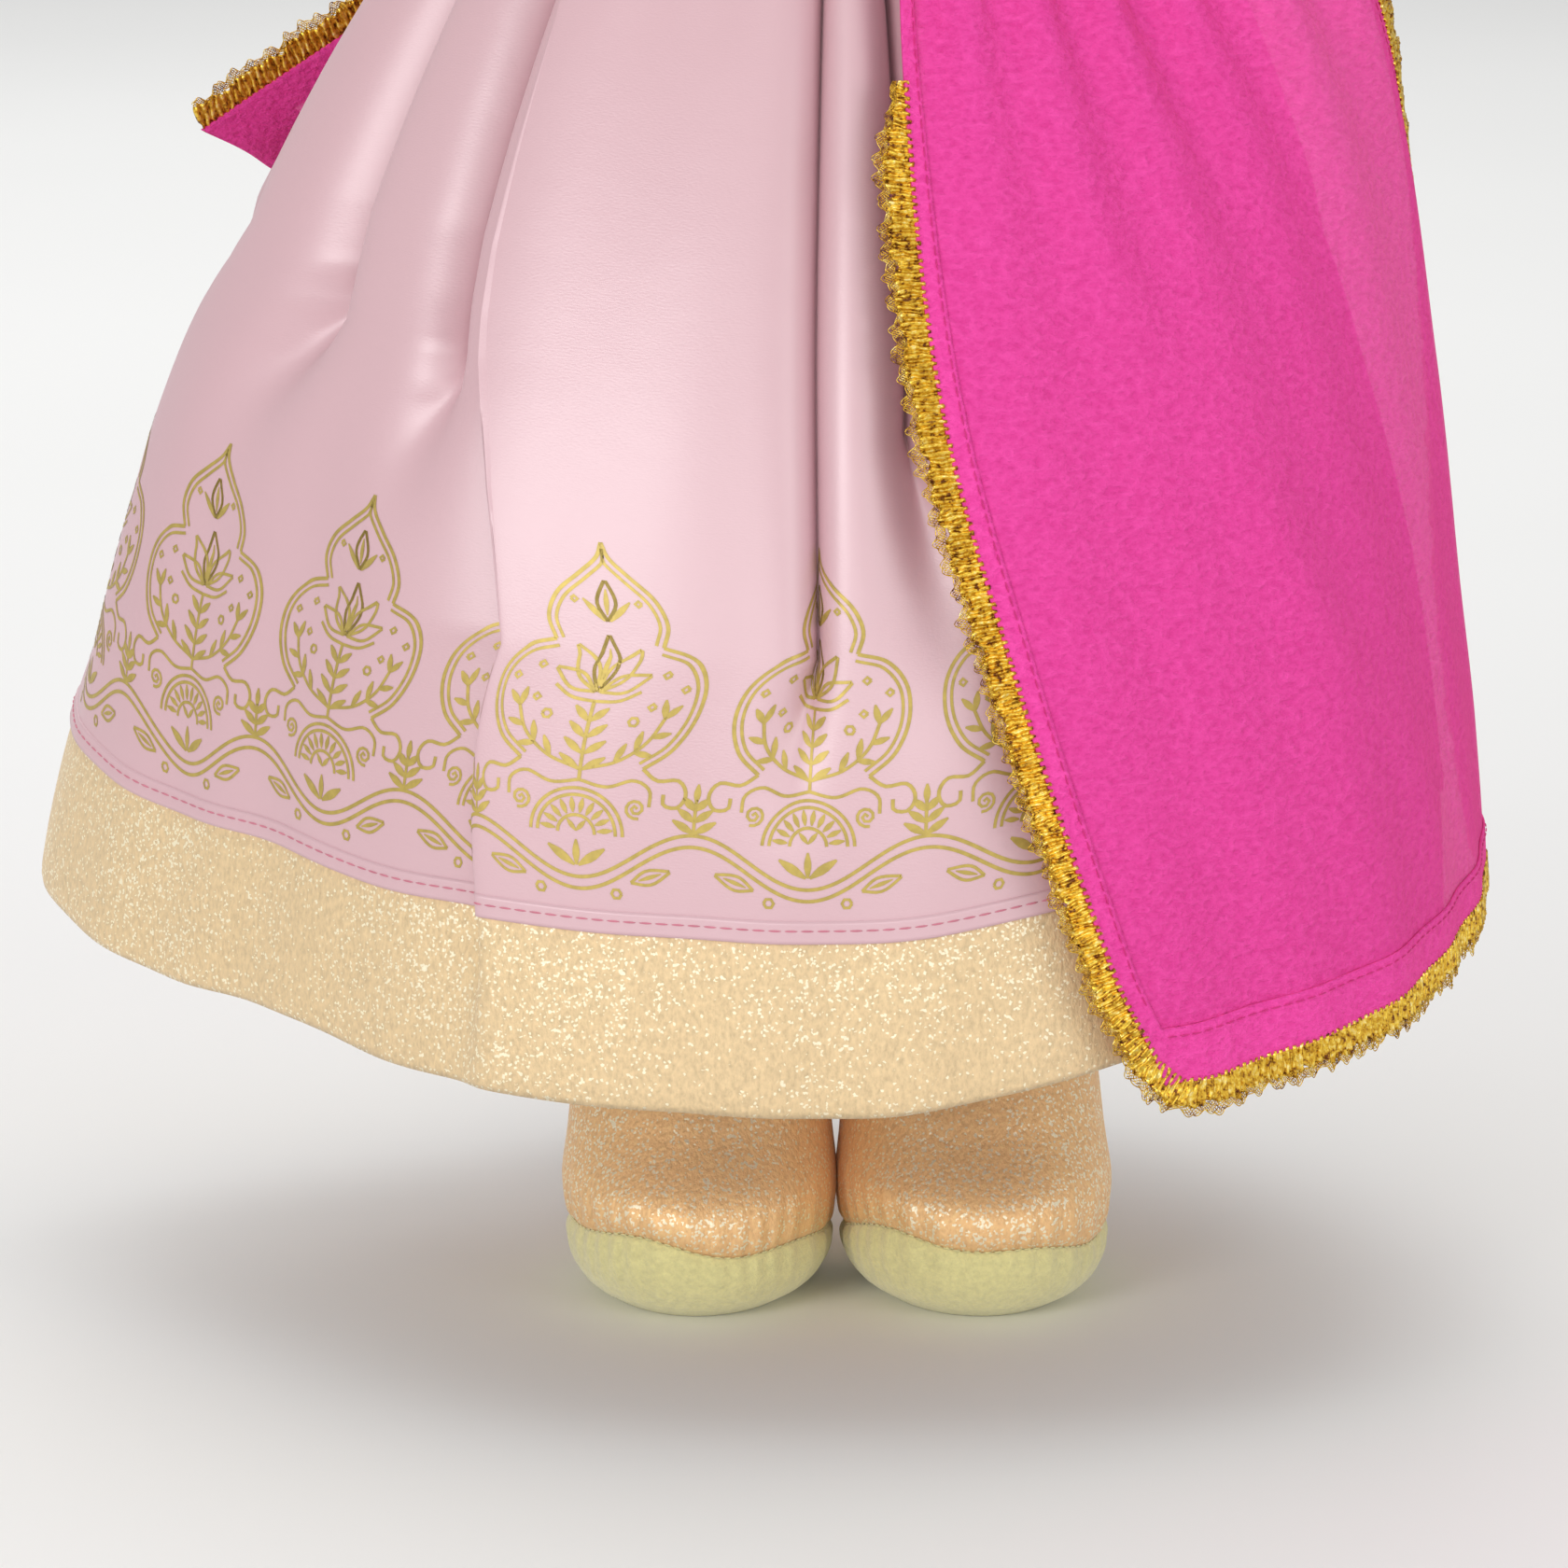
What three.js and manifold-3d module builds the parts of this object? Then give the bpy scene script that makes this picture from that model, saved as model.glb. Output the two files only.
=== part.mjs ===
// A stuffed cloth doll in Rajasthani dress, about 45 cm tall: gathered satin skirt with a shimmer hem band,
// fitted blouse, gauze veil pinned at the wearer's left shoulder, bootees with felt soles.
// Millimetres, +Z up, the doll faces -Y and stands on Z = 0. The wearer's left is +X.
import * as THREE from 'three';
import { LoftGeometry } from 'three/addons/geometries/LoftGeometry.js';
import { mergeVertices } from 'three/addons/utils/BufferGeometryUtils.js';
import Module from 'manifold-3d';

const wasm = await Module();
wasm.setup();

// ---- Driving dimensions ----
const GAP = 0.4; // clearance between neighbouring pieces
const CLOTH = 1.2; // thickness of a cloth layer with its turnings
const NECK_TOP = 350;
const WAIST_Z = 269.6; // where the skirt leaves the waistband
const WAISTBAND_HEIGHT = 11;
const SKIRT_LENGTH = 226; // along the cloth, hem band included
const HEM_BAND = 31;
const SKIRT_WAIST = { side: 36, front: 27 };
const SKIRT_HEM = { side: 99.5, front: 95 };
const SHOULDER = { x: 54, z: 322 };
const ARM_SPLAY = 50; // degrees out from hanging straight down
const HIP_Z = 186;
const LEG_X = 22.5;
const HEAD_Z = 351;

// Folds of the skirt: angle round the body from the front, towards the wearer's left, in degrees.
const FOLDS = [
  { at: -98, width: 24, depth: 32.5 },
  { at: -38, width: 12, depth: 3 },
  { at: 0, width: 14, depth: -2 },
  { at: 62, width: 18, depth: 3 },
  { at: 112, width: 16, depth: -4 },
  { at: 140, width: 15, depth: 3 },
  { at: 172, width: 14, depth: -4 },
  { at: -158, width: 14, depth: 1 },
  { at: -136, width: 12, depth: -4 },
];
const HEM_LIFT = { from: 0, to: 42, height: 8 }; // the wearer's left side of the hem rides a little higher

const COLOURS = {
  skin: 0xc98f66,
  satin: 0xf0cdd3,
  shimmer: 0xdcc69b,
  felt: 0xe0dc9c,
  veil: 0xf0409a,
  lace: 0xd9a32b,
  hair: 0x2a1a12,
  gold: 0xd8a83c,
  thread: 0x3a211a,
  lips: 0xb8324c,
  plastic: 0xece8dc,
  wood: 0xc9a36b,
  petals: 0xfaf4ea,
  pellets: 0xe9e2d0,
};

// ---- Shape helpers ----
const radians = THREE.MathUtils.degToRad;
const doll = new THREE.Group();

function material(colour, roughness = 0.85, metalness = 0) {
  return new THREE.MeshStandardMaterial({ color: colour, roughness, metalness });
}

const LOOKS = {
  skin: material(COLOURS.skin, 0.9),
  satin: material(COLOURS.satin, 0.4),
  shimmer: material(COLOURS.shimmer, 0.55, 0.3),
  felt: material(COLOURS.felt, 0.95),
  veil: material(COLOURS.veil, 0.8),
  lace: material(COLOURS.lace, 0.35, 0.8),
  hair: material(COLOURS.hair, 0.6),
  gold: material(COLOURS.gold, 0.3, 1),
  thread: material(COLOURS.thread, 0.7),
  lips: material(COLOURS.lips, 0.7),
  plastic: material(COLOURS.plastic, 0.5),
  wood: material(COLOURS.wood, 0.7),
  petals: material(COLOURS.petals, 0.8),
  pellets: material(COLOURS.pellets, 0.8),
};

function add(name, geometry, look, parent = doll) {
  const mesh = new THREE.Mesh(geometry, LOOKS[look]);
  mesh.name = name;
  parent.add(mesh);
  return mesh;
}

// A ring of points round the Z axis, counterclockwise from above; at(angle) gives each point.
function ring(count, at) {
  return Array.from({ length: count }, (_, i) => at((i / count) * 2 * Math.PI));
}

// Levels are [z, half width, half depth, centre y]; between levels the girth is a smooth curve.
function girth(levels, z) {
  const last = levels.length - 1;
  const i = Math.max(0, Math.min(last - 1, levels.findIndex((l) => l[0] > z) - 1));
  const at = levels[last][0] <= z ? last - 1 : i;
  const [low, high] = [levels[at], levels[at + 1]];
  const share = THREE.MathUtils.clamp((z - low[0]) / (high[0] - low[0]), 0, 1);
  const before = levels[Math.max(0, at - 1)];
  const after = levels[Math.min(last, at + 2)];
  const curve = (k) => {
    const slopeLow = ((high[k] - before[k]) / (high[0] - before[0])) * (high[0] - low[0]);
    const slopeHigh = ((after[k] - low[k]) / (after[0] - low[0])) * (high[0] - low[0]);
    const s2 = share * share;
    const s3 = s2 * share;
    return (2 * s3 - 3 * s2 + 1) * low[k] + (s3 - 2 * s2 + share) * slopeLow
      + (3 * s2 - 2 * s3) * high[k] + (s3 - s2) * slopeHigh;
  };
  return { side: curve(1), front: curve(2), y: levels[0].length > 3 ? curve(3) : 0 };
}

function ovalRing(levels, z, grow, count, tilt = () => 0) {
  const { side, front, y } = girth(levels, z);
  return ring(count, (a) => {
    const py = y + (front + grow) * Math.sin(a);
    return new THREE.Vector3((side + grow) * Math.cos(a), py, z + tilt(z, py));
  });
}

// A stuffed solid through the levels, from zLow to zHigh.
function stuffed(levels, { from, to, rows = 14, count = 24, tilt } = {}) {
  const zLow = from ?? levels[0][0];
  const zHigh = to ?? levels[levels.length - 1][0];
  const sections = [];
  for (let i = 0; i <= rows; i++) {
    const ease = (1 - Math.cos((Math.PI * i) / rows)) / 2;
    sections.push(ovalRing(levels, zLow + (zHigh - zLow) * ease, 0, count, tilt));
  }
  return new LoftGeometry(sections, { capStart: true, capEnd: true });
}

// A shell whose rings run up the outside and back down the inside.
function shell(outer, inner) {
  const sections = [...outer, ...[...inner].reverse(), outer[0]];
  return new LoftGeometry(sections);
}

// A garment layer that follows the levels at a distance.
function layer(levels, zLow, zHigh, inside, outside, rows = 4, count = 24) {
  const level = (i) => zLow + ((zHigh - zLow) * i) / rows;
  const rings = (grow) => Array.from({ length: rows + 1 }, (_, i) => ovalRing(levels, level(i), grow, count));
  return shell(rings(outside), rings(inside));
}

function solidOf(geometry) {
  const bare = new THREE.BufferGeometry();
  bare.setAttribute('position', geometry.attributes.position);
  bare.setIndex(geometry.index);
  const merged = mergeVertices(bare, 1e-3);
  const vertProperties = new Float32Array(merged.attributes.position.array);
  const triVerts = new Uint32Array(merged.index.array);
  return new wasm.Manifold(new wasm.Mesh({ numProp: 3, vertProperties, triVerts }));
}

function geometryOf(solid) {
  const mesh = solid.getMesh();
  const geometry = new THREE.BufferGeometry();
  geometry.setAttribute('position', new THREE.BufferAttribute(mesh.vertProperties, 3));
  geometry.setIndex(new THREE.BufferAttribute(mesh.triVerts, 1));
  return geometry;
}

function cut(geometry, ...tools) {
  return geometryOf(tools.reduce((left, tool) => left.subtract(solidOf(tool)), solidOf(geometry)));
}

function join(...pieces) {
  return geometryOf(pieces.map(solidOf).reduce((a, b) => a.add(b)));
}

// An ellipsoid with half lengths (x, y, z) about a centre.
function ellipsoid(half, centre, across = 16, up = 8) {
  const geometry = new THREE.SphereGeometry(1, across, up);
  geometry.rotateX(Math.PI / 2);
  geometry.scale(...half);
  geometry.translate(...centre);
  return geometry;
}

// A turned piece on the X axis: points are [radius, x].
function turnedOnX(points, centre, segments = 16) {
  const profile = points.map(([radius, x]) => new THREE.Vector2(radius, x));
  const geometry = new THREE.LatheGeometry(profile, segments);
  geometry.rotateZ(-Math.PI / 2);
  geometry.translate(...centre);
  return geometry;
}

function turnedOnZ(points, centre, segments = 16) {
  const profile = points.map(([radius, z]) => new THREE.Vector2(radius, z));
  const geometry = new THREE.LatheGeometry(profile, segments);
  geometry.rotateX(Math.PI / 2);
  geometry.translate(...centre);
  return geometry;
}

function closedTube(points, radius, { sides = 6, steps = 28, closed = true } = {}) {
  const section = new THREE.Shape();
  section.absarc(0, 0, radius, 0, 2 * Math.PI);
  const path = new THREE.CatmullRomCurve3(points, closed);
  return new THREE.ExtrudeGeometry(section, {
    extrudePath: path,
    steps,
    curveSegments: sides / 2,
    bevelEnabled: false,
  });
}

// ---- Torso, neck and shoulder joints ----
const TORSO = [
  [189, 26, 14],
  [193, 36, 22],
  [208, 43, 29],
  [235, 40, 28],
  [258, 33, 24],
  [275, 31.5, 22.5],
  [298, 35, 25],
  [317, 35.5, 24],
  [329, 30, 20],
  [337, 20, 15.5],
  [342, 13, 12.5],
  [NECK_TOP, 12, 12],
];
const DOWEL = { radius: 4, low: 322, high: 386 };
const STEM_RADIUS = 2;
const JOINT_DISC = { radius: 8, thickness: 2 };
const WASHER = { radius: 8, x: 20 };

// Space for a shoulder joint: the disc in the arm, the stem and the washer in the torso.
function jointSpace(side) {
  const clear = GAP;
  const points = [
    [0, WASHER.x - 4],
    [WASHER.radius + clear, WASHER.x - 4],
    [WASHER.radius + clear, WASHER.x + 2 + clear],
    [STEM_RADIUS + clear, WASHER.x + 2 + clear],
    [STEM_RADIUS + clear, SHOULDER.x - 4 - clear],
    [JOINT_DISC.radius + clear, SHOULDER.x - 4 - clear],
    [JOINT_DISC.radius + clear, SHOULDER.x - 4 + JOINT_DISC.thickness + clear],
    [0, SHOULDER.x - 4 + JOINT_DISC.thickness + clear],
  ];
  const space = turnedOnX(points, [0, 0, SHOULDER.z]);
  if (side < 0) space.rotateZ(Math.PI);
  return space;
}

function shoulderDisc(side) {
  const disc = turnedOnX(
    [
      [0, WASHER.x - 2],
      [STEM_RADIUS, WASHER.x - 2],
      [STEM_RADIUS, SHOULDER.x - 4],
      [JOINT_DISC.radius, SHOULDER.x - 4],
      [JOINT_DISC.radius, SHOULDER.x - 4 + JOINT_DISC.thickness],
      [0, SHOULDER.x - 4 + JOINT_DISC.thickness],
    ],
    [0, 0, SHOULDER.z],
  );
  if (side < 0) disc.rotateZ(Math.PI);
  return disc;
}

function shoulderWasher(side) {
  const bore = STEM_RADIUS + 0.1;
  const washer = turnedOnX(
    [
      [bore, WASHER.x],
      [WASHER.radius, WASHER.x],
      [WASHER.radius, WASHER.x + 2],
      [bore, WASHER.x + 2],
      [bore, WASHER.x],
    ],
    [0, 0, SHOULDER.z],
  );
  if (side < 0) washer.rotateZ(Math.PI);
  return washer;
}

function dowelRod(grow) {
  const radius = DOWEL.radius + grow;
  const rod = new THREE.CylinderGeometry(radius, radius, DOWEL.high - DOWEL.low + 2 * grow, 16);
  rod.rotateX(Math.PI / 2);
  rod.translate(0, 0, (DOWEL.low + DOWEL.high) / 2);
  return rod;
}
const dowelSpace = dowelRod(GAP);

add('torso', cut(stuffed(TORSO), jointSpace(1), jointSpace(-1), dowelSpace), 'skin');
add('neck_dowel', dowelRod(0), 'wood');

for (const [name, side] of [['left', 1], ['right', -1]]) {
  add(`${name}_shoulder_disc`, shoulderDisc(side), 'plastic');
  add(`${name}_shoulder_washer`, shoulderWasher(side), 'plastic');
}

// ---- Blouse and waistband ----
const BLOUSE = { low: 282, high: 334.5 };
const LOOSE = 0.9; // a garment's distance from the body under it
const blouseOut = CLOTH + LOOSE;
const blouse = layer(TORSO, BLOUSE.low, BLOUSE.high, LOOSE, blouseOut, 6);
const neckEdge = girth(TORSO, BLOUSE.high);
add('blouse', cut(blouse, jointSpace(1), jointSpace(-1)), 'satin');
const hemTrim = layer(TORSO, BLOUSE.low, BLOUSE.low + 5, blouseOut + GAP, blouseOut + GAP + 0.9, 2);
add('blouse_hem_trim', hemTrim, 'shimmer');
const neckTrim = ring(36, (a) => new THREE.Vector3(
  (neckEdge.side + blouseOut - 0.8) * Math.cos(a),
  (neckEdge.front + blouseOut - 0.8) * Math.sin(a),
  BLOUSE.high + 1.5,
));
add('blouse_neck_trim', closedTube(neckTrim, 1), 'lace');
const waistbandTop = WAIST_Z + GAP + WAISTBAND_HEIGHT;
add('waistband', layer(TORSO, WAIST_Z + GAP, waistbandTop, LOOSE, CLOTH + 2, 3), 'veil');

// ---- Skirt ----
const angleGap = (a, b) => THREE.MathUtils.euclideanModulo(a - b + 180, 360) - 180;

function ovalRadius({ side, front }, angle) {
  const a = radians(angle);
  return 1 / Math.hypot(Math.sin(a) / side, Math.cos(a) / front);
}

// Radius of the skirt at an angle in degrees and a share of its length.
function skirtRadius(angle, share) {
  const flare = 1 - (1 - share) ** 1.75;
  const low = ovalRadius(SKIRT_WAIST, angle);
  const high = ovalRadius(SKIRT_HEM, angle);
  const bell = (f) => f.depth * Math.exp(-((angleGap(angle, f.at) / f.width) ** 2));
  const fold = FOLDS.reduce((sum, f) => sum + bell(f), 0);
  const grown = (1 - (1 - share) ** 6) * (0.6 + 0.4 * share);
  return low + (high - low) * flare + fold * grown;
}

const SKIRT_STEPS = 24;
const columns = new Map();

// Radius and height down one line of the cloth, which keeps its length as it flares.
function skirtColumn(angle) {
  if (columns.has(angle)) return columns.get(angle);
  const lift = HEM_LIFT.height * THREE.MathUtils.smoothstep(Math.min(angle, 90), HEM_LIFT.from, HEM_LIFT.to)
    * (1 - THREE.MathUtils.smoothstep(angle, 90, 180));
  const step = (SKIRT_LENGTH - lift) / SKIRT_STEPS;
  const column = [{ r: skirtRadius(angle, 0), z: WAIST_Z }];
  for (let i = 1; i <= SKIRT_STEPS; i++) {
    const r = skirtRadius(angle, i / SKIRT_STEPS);
    const out = r - column[i - 1].r;
    column.push({ r, z: column[i - 1].z - Math.sqrt(Math.max(step * step - out * out, (0.3 * step) ** 2)) });
  }
  columns.set(angle, column);
  return column;
}

function skirtAt(angle, share) {
  const column = skirtColumn(angle);
  const place = share * SKIRT_STEPS;
  const i = Math.min(SKIRT_STEPS - 1, Math.floor(place));
  return {
    r: THREE.MathUtils.lerp(column[i].r, column[i + 1].r, place - i),
    z: THREE.MathUtils.lerp(column[i].z, column[i + 1].z, place - i),
  };
}

// A point at an angle from the front (-Y) towards the wearer's left (+X).
function around(angle, r, z) {
  const a = radians(angle);
  return new THREE.Vector3(r * Math.sin(a), -r * Math.cos(a), z);
}

function skirtShell(fromShare, toShare, rows, count = 60) {
  const rings = (grow) => Array.from({ length: rows + 1 }, (_, i) => {
    const share = fromShare + ((toShare - fromShare) * i) / rows;
    return ring(count, (a) => {
      const angle = THREE.MathUtils.euclideanModulo(THREE.MathUtils.radToDeg(a) + 180, 360) - 180;
      const { r, z } = skirtAt(Math.round(angle * 100) / 100, share);
      return around(angle, r + grow, z);
    });
  });
  return shell(rings(-CLOTH), rings(0));
}

const bandShare = 1 - HEM_BAND / SKIRT_LENGTH;
add('skirt', skirtShell(0, bandShare, 8), 'satin');
add('skirt_hem_band', skirtShell(bandShare + GAP / SKIRT_LENGTH, 1, 2), 'shimmer');

// ---- Head ----
const HEAD = [
  [HEAD_Z, 15, 14],
  [356, 28, 27],
  [366, 38, 37],
  [380, 44, 41.5],
  [395, 45.5, 43],
  [411, 43.5, 41.5],
  [425, 36, 35],
  [435, 24, 23],
  [441, 8, 8],
];
add('head', cut(stuffed(HEAD, { rows: 16, count: 28 }), dowelSpace), 'skin');

// Hair: a cap that leaves the face open below a hairline which peaks at the centre parting.
const hairOuter = () => ellipsoid([50.5, 48.5, 50], [0, 1.5, 397], 28, 16);
const roomyHead = HEAD.map(([z, side, front]) => [z > 430 ? z + LOOSE : z, side + LOOSE, front + LOOSE]);
const faceSpace = ellipsoid([40, 60, 41], [0, -46, 376], 28, 14);
const napeSpace = new THREE.BoxGeometry(140, 140, 40);
napeSpace.translate(0, 0, 342);
add('hair', cut(hairOuter(), stuffed(roomyHead, { rows: 16, count: 28 }), faceSpace, napeSpace), 'hair');
const hairSpace = () => ellipsoid([50.9, 48.9, 50.4], [0, 1.5, 397], 28, 16);
add('hair_bun', cut(ellipsoid([18, 13, 17], [0, 62.5, 392]), hairSpace()), 'hair');
const garland = ring(24, (a) => new THREE.Vector3(21 * Math.cos(a), 60, 392 + 20 * Math.sin(a)));
add('bun_garland', cut(closedTube(garland, 2.6), hairSpace()), 'petals');

// A thin pad that lies on the face: its centre is found on the head's own surface.
function facePad(x, z, half, thickness) {
  const { side, front } = girth(HEAD, z);
  const y = -front * Math.sqrt(1 - (x / side) ** 2);
  const outward = new THREE.Vector3(x / side ** 2, y / front ** 2, (z - 395) / 46 ** 2).normalize();
  const pad = new THREE.SphereGeometry(1, 14, 6);
  pad.scale(half[0], half[1], thickness);
  pad.lookAt(outward);
  const place = new THREE.Vector3(x, y, z).addScaledVector(outward, thickness + GAP);
  pad.translate(place.x, place.y, place.z);
  return pad;
}

add('left_eye', facePad(15, 391, [4.6, 5.6], 1), 'thread');
add('right_eye', facePad(-15, 391, [4.6, 5.6], 1), 'thread');
add('nose', facePad(0, 382, [2.6, 2.2], 1.6), 'skin');
add('bindi', facePad(0, 403, [2.4, 2.4], 0.7), 'lips');
const smile = Array.from({ length: 9 }, (_, i) => {
  const x = -8 + 2 * i;
  const z = 371 + 0.045 * x * x;
  const { side, front } = girth(HEAD, z);
  return new THREE.Vector3(x, -front * Math.sqrt(1 - (x / side) ** 2) - 1.5, z);
});
add('mouth', closedTube(smile, 0.8, { steps: 16, closed: false }), 'lips');

// ---- Jewellery on the head ----
for (const [name, side] of [['left', 1], ['right', -1]]) {
  const profile = [[0, -9], [5, -9], [4.6, -6], [3, -3], [1, -2], [1, 2], [0, 2]];
  const bell = turnedOnZ(profile, [side * 49.5, -13, 374], 12);
  add(`${name}_earring`, bell, 'gold');
}
const chain = Array.from({ length: 9 }, (_, i) => {
  const a = radians(32 + 7 * i);
  return new THREE.Vector3(0, 1.5 - 50 * Math.cos(a), 397 + 51.6 * Math.sin(a));
});
add('parting_chain', closedTube(chain, 0.8, { steps: 24, closed: false }), 'gold');
add('parting_pendant', turnedOnZ([[0, -1], [4, -1], [4.5, 0], [4, 1], [0, 1]], [0, 0, 0]).rotateX(radians(70))
  .translate(0, -43.8, 419.4), 'gold');

// ---- Necklace ----
const NECKLACE = { radius: 16.5, tube: 1.2, y: -2, z: 344.4, slope: 0.28 };
const necklace = new THREE.TorusGeometry(NECKLACE.radius, NECKLACE.tube, 8, 40);
const lean = new THREE.Matrix4().set(1, 0, 0, 0, 0, 1, 0, 0, 0, NECKLACE.slope, 1, 0, 0, 0, 0, 1);
necklace.applyMatrix4(lean);
necklace.translate(0, NECKLACE.y, NECKLACE.z);
add('necklace', necklace, 'gold');
add('necklace_pendant', ellipsoid([3.6, 1.5, 4.6], [0, -23.9, 331], 12, 6), 'gold');

// ---- Arms ----
const ARM = [
  [-101, 3, 2.5],
  [-99, 7, 5],
  [-91, 11, 7.6],
  [-82, 11.2, 8],
  [-71, 9.4, 8.8],
  [-50, 10.6, 10.6],
  [-25, 12, 12],
  [-4, 13.2, 13.2],
  [6, 11.5, 11.5],
  [12, 6, 6],
  [13, 3, 3],
];
const SLEEVE = [
  [-36, 13.6, 13.6],
  [-30, 15, 15],
  [-12, 15.6, 15.6],
  [0, 15.2, 15.2],
  [9, 13, 13],
  [15, 8, 8],
];

// Arms are modelled hanging from the shoulder centre, then swung out to their rest position.
function placed(geometry, side) {
  geometry.rotateY(-side * radians(ARM_SPLAY));
  geometry.translate(side * SHOULDER.x, 0, SHOULDER.z);
  return geometry;
}

function arm(side) {
  const thumb = ellipsoid([3.6, 6.4, 3.8], [0, -8.6, -83], 12, 8);
  const whole = join(stuffed(ARM, { rows: 14, count: 18 }), thumb);
  return cut(placed(whole, side), jointSpace(side));
}

function sleeve(side) {
  const rings = (grow) => Array.from({ length: 7 }, (_, i) => ovalRing(SLEEVE, -36 + (51 * i) / 6, grow, 22));
  const whole = placed(shell(rings(0), rings(-1)), side);
  return cut(whole, jointSpace(side));
}

function bangle(side, z) {
  const points = ring(20, (a) => new THREE.Vector3(11.6 * Math.cos(a), 11.2 * Math.sin(a), z));
  return placed(closedTube(points, 1), side);
}

for (const [name, side] of [['left', 1], ['right', -1]]) {
  add(`${name}_arm`, arm(side), 'skin');
  add(`${name}_sleeve`, sleeve(side), 'satin');
  add(`${name}_sleeve_trim`, placed(layer(SLEEVE, -36, -32, GAP, 1.4, 1, 22), side), 'shimmer');
  add(`${name}_bangle_upper`, bangle(side, -64), 'gold');
  add(`${name}_bangle_lower`, bangle(side, -67.6), 'gold');
}

// ---- Legs and bootees ----
const LEG = [
  [71.6, 18.6, 18.6, 2],
  [100, 19.5, 19.5, 2],
  [140, 20.5, 20, 1],
  [165, 20, 17, 0.5],
  [178, 18, 9, 0],
  [182.5, 17, 2, 0],
];
const FOOT = [
  [0, 15, 20, -5],
  [2.5, 19, 24.5, -5],
  [7, 21.6, 28, -5],
  [13, 22, 29, -4.5],
  [21, 22, 27.5, -3.5],
  [31, 21.6, 23.5, -0.5],
  [44, 20.4, 20.4, 2],
  [71, 18.8, 18.8, 2],
];
const SOLE_SEAM = 10.5;

// The sole's seam climbs over the toe and drops at the heel.
function seamTilt(z, y) {
  const share = Math.exp(-(((z - SOLE_SEAM) / 9) ** 2));
  return z < 0.5 ? 0 : -0.13 * (y + 4) * share * Math.min(1, z / SOLE_SEAM);
}

const pouchSpace = turnedOnZ([[0, -20], [14, -20], [14, 4], [10, 9], [0, 9]], [0, -4, 12]);
for (const [name, side] of [['left', 1], ['right', -1]]) {
  const leg = new THREE.Group();
  leg.position.x = side * LEG_X;
  doll.add(leg);
  const seam = new THREE.CylinderGeometry(1.2, 1.2, 32, 12);
  seam.rotateZ(Math.PI / 2);
  seam.translate(0, 0, HIP_Z);
  add(`${name}_leg`, stuffed(LEG, { rows: 8, count: 22 }), 'skin', leg);
  add(`${name}_hip_seam`, seam, 'skin', leg);
  const bootee = stuffed(FOOT, { from: SOLE_SEAM, to: 71, rows: 10, count: 26, tilt: seamTilt });
  add(`${name}_bootee`, cut(bootee, pouchSpace), 'shimmer', leg);
  const sole = stuffed(FOOT, { from: 0, to: SOLE_SEAM - GAP, rows: 5, count: 26, tilt: seamTilt });
  add(`${name}_sole`, sole, 'felt', leg);
  add(`${name}_foot_pellets`, ellipsoid([12, 12, 3.6], [0, -4, 16]), 'pellets', leg);
}

// ---- Veil ----
// The veil lies on the blouse and skirt; its radius comes from what is under it.
function bodyRadius(angle, z) {
  const torso = girth(TORSO, Math.max(z, WAIST_Z));
  const above = ovalRadius({ side: torso.side + 2.5, front: torso.front + 2.5 }, angle);
  if (z >= waistbandTop + 3) return above;
  const turned = THREE.MathUtils.euclideanModulo(angle + 180, 360) - 180;
  const column = skirtColumn(Math.round(turned * 100) / 100);
  const i = Math.max(1, column.findIndex((p) => p.z <= z));
  const at = column[column.length - 1].z > z ? column.length - 1 : i;
  const share = THREE.MathUtils.clamp((column[at - 1].z - z) / (column[at - 1].z - column[at].z), 0, 1);
  const below = THREE.MathUtils.lerp(column[at - 1].r, column[at].r, share);
  const blend = THREE.MathUtils.smoothstep(z, WAIST_Z - 12, waistbandTop + 3);
  return Math.max(below * (1 - blend) + (above + 3) * blend, above);
}

// A cloth strip: edge(t, s) gives angle, height and stand-off, with s from 0 to 1 across and t along.
function clothSlab(edge, from, to, sFrom = 0, sTo = 1, across = 14, rows = 20) {
  const slab = new THREE.BoxGeometry(1, 1, 1, across, 1, rows);
  slab.translate(0.5, 0.5, 0.5);
  const corner = slab.attributes.position;
  for (let i = 0; i < corner.count; i++) {
    const t = THREE.MathUtils.lerp(to, from, corner.getZ(i));
    const s = THREE.MathUtils.lerp(sFrom, sTo, corner.getX(i));
    const { angle, z, off } = edge(t, s);
    const point = around(angle, bodyRadius(angle, z) + off + CLOTH * (1 - corner.getY(i)), z);
    corner.setXYZ(i, point.x, point.y, point.z);
  }
  return slab;
}

function alongTable(table, t) {
  const place = THREE.MathUtils.clamp(t, 0, 1) * (table.length - 1);
  const i = Math.min(table.length - 2, Math.floor(place));
  const share = place - i;
  return table[i].map((value, k) => THREE.MathUtils.lerp(value, table[i + 1][k], share));
}

// Front fall: angle and height of its inner edge, then of its outer edge, from the shoulder to the hem.
const FRONT_FALL = [
  [38, 324, 70, 322],
  [25, 300, 66, 296],
  [17, 268, 68, 262],
  [10, 232, 78, 228],
  [9, 196, 94, 192],
  [11, 160, 98, 156],
  [16, 125, 101, 122],
  [22, 92, 103, 96],
  [30, 59, 98, 72],
];

function frontFall(t, s) {
  const [innerAngle, innerZ, outerAngle, outerZ] = alongTable(FRONT_FALL, t);
  const sideRoom = 6.5 * THREE.MathUtils.smoothstep(s, 0.5, 1);
  return {
    angle: THREE.MathUtils.lerp(innerAngle, outerAngle, s),
    z: THREE.MathUtils.lerp(innerZ, outerZ, s) - 3 * Math.sin(Math.PI * s) * t,
    off: 3 + sideRoom * Math.min(1, 2 * t),
  };
}

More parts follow.
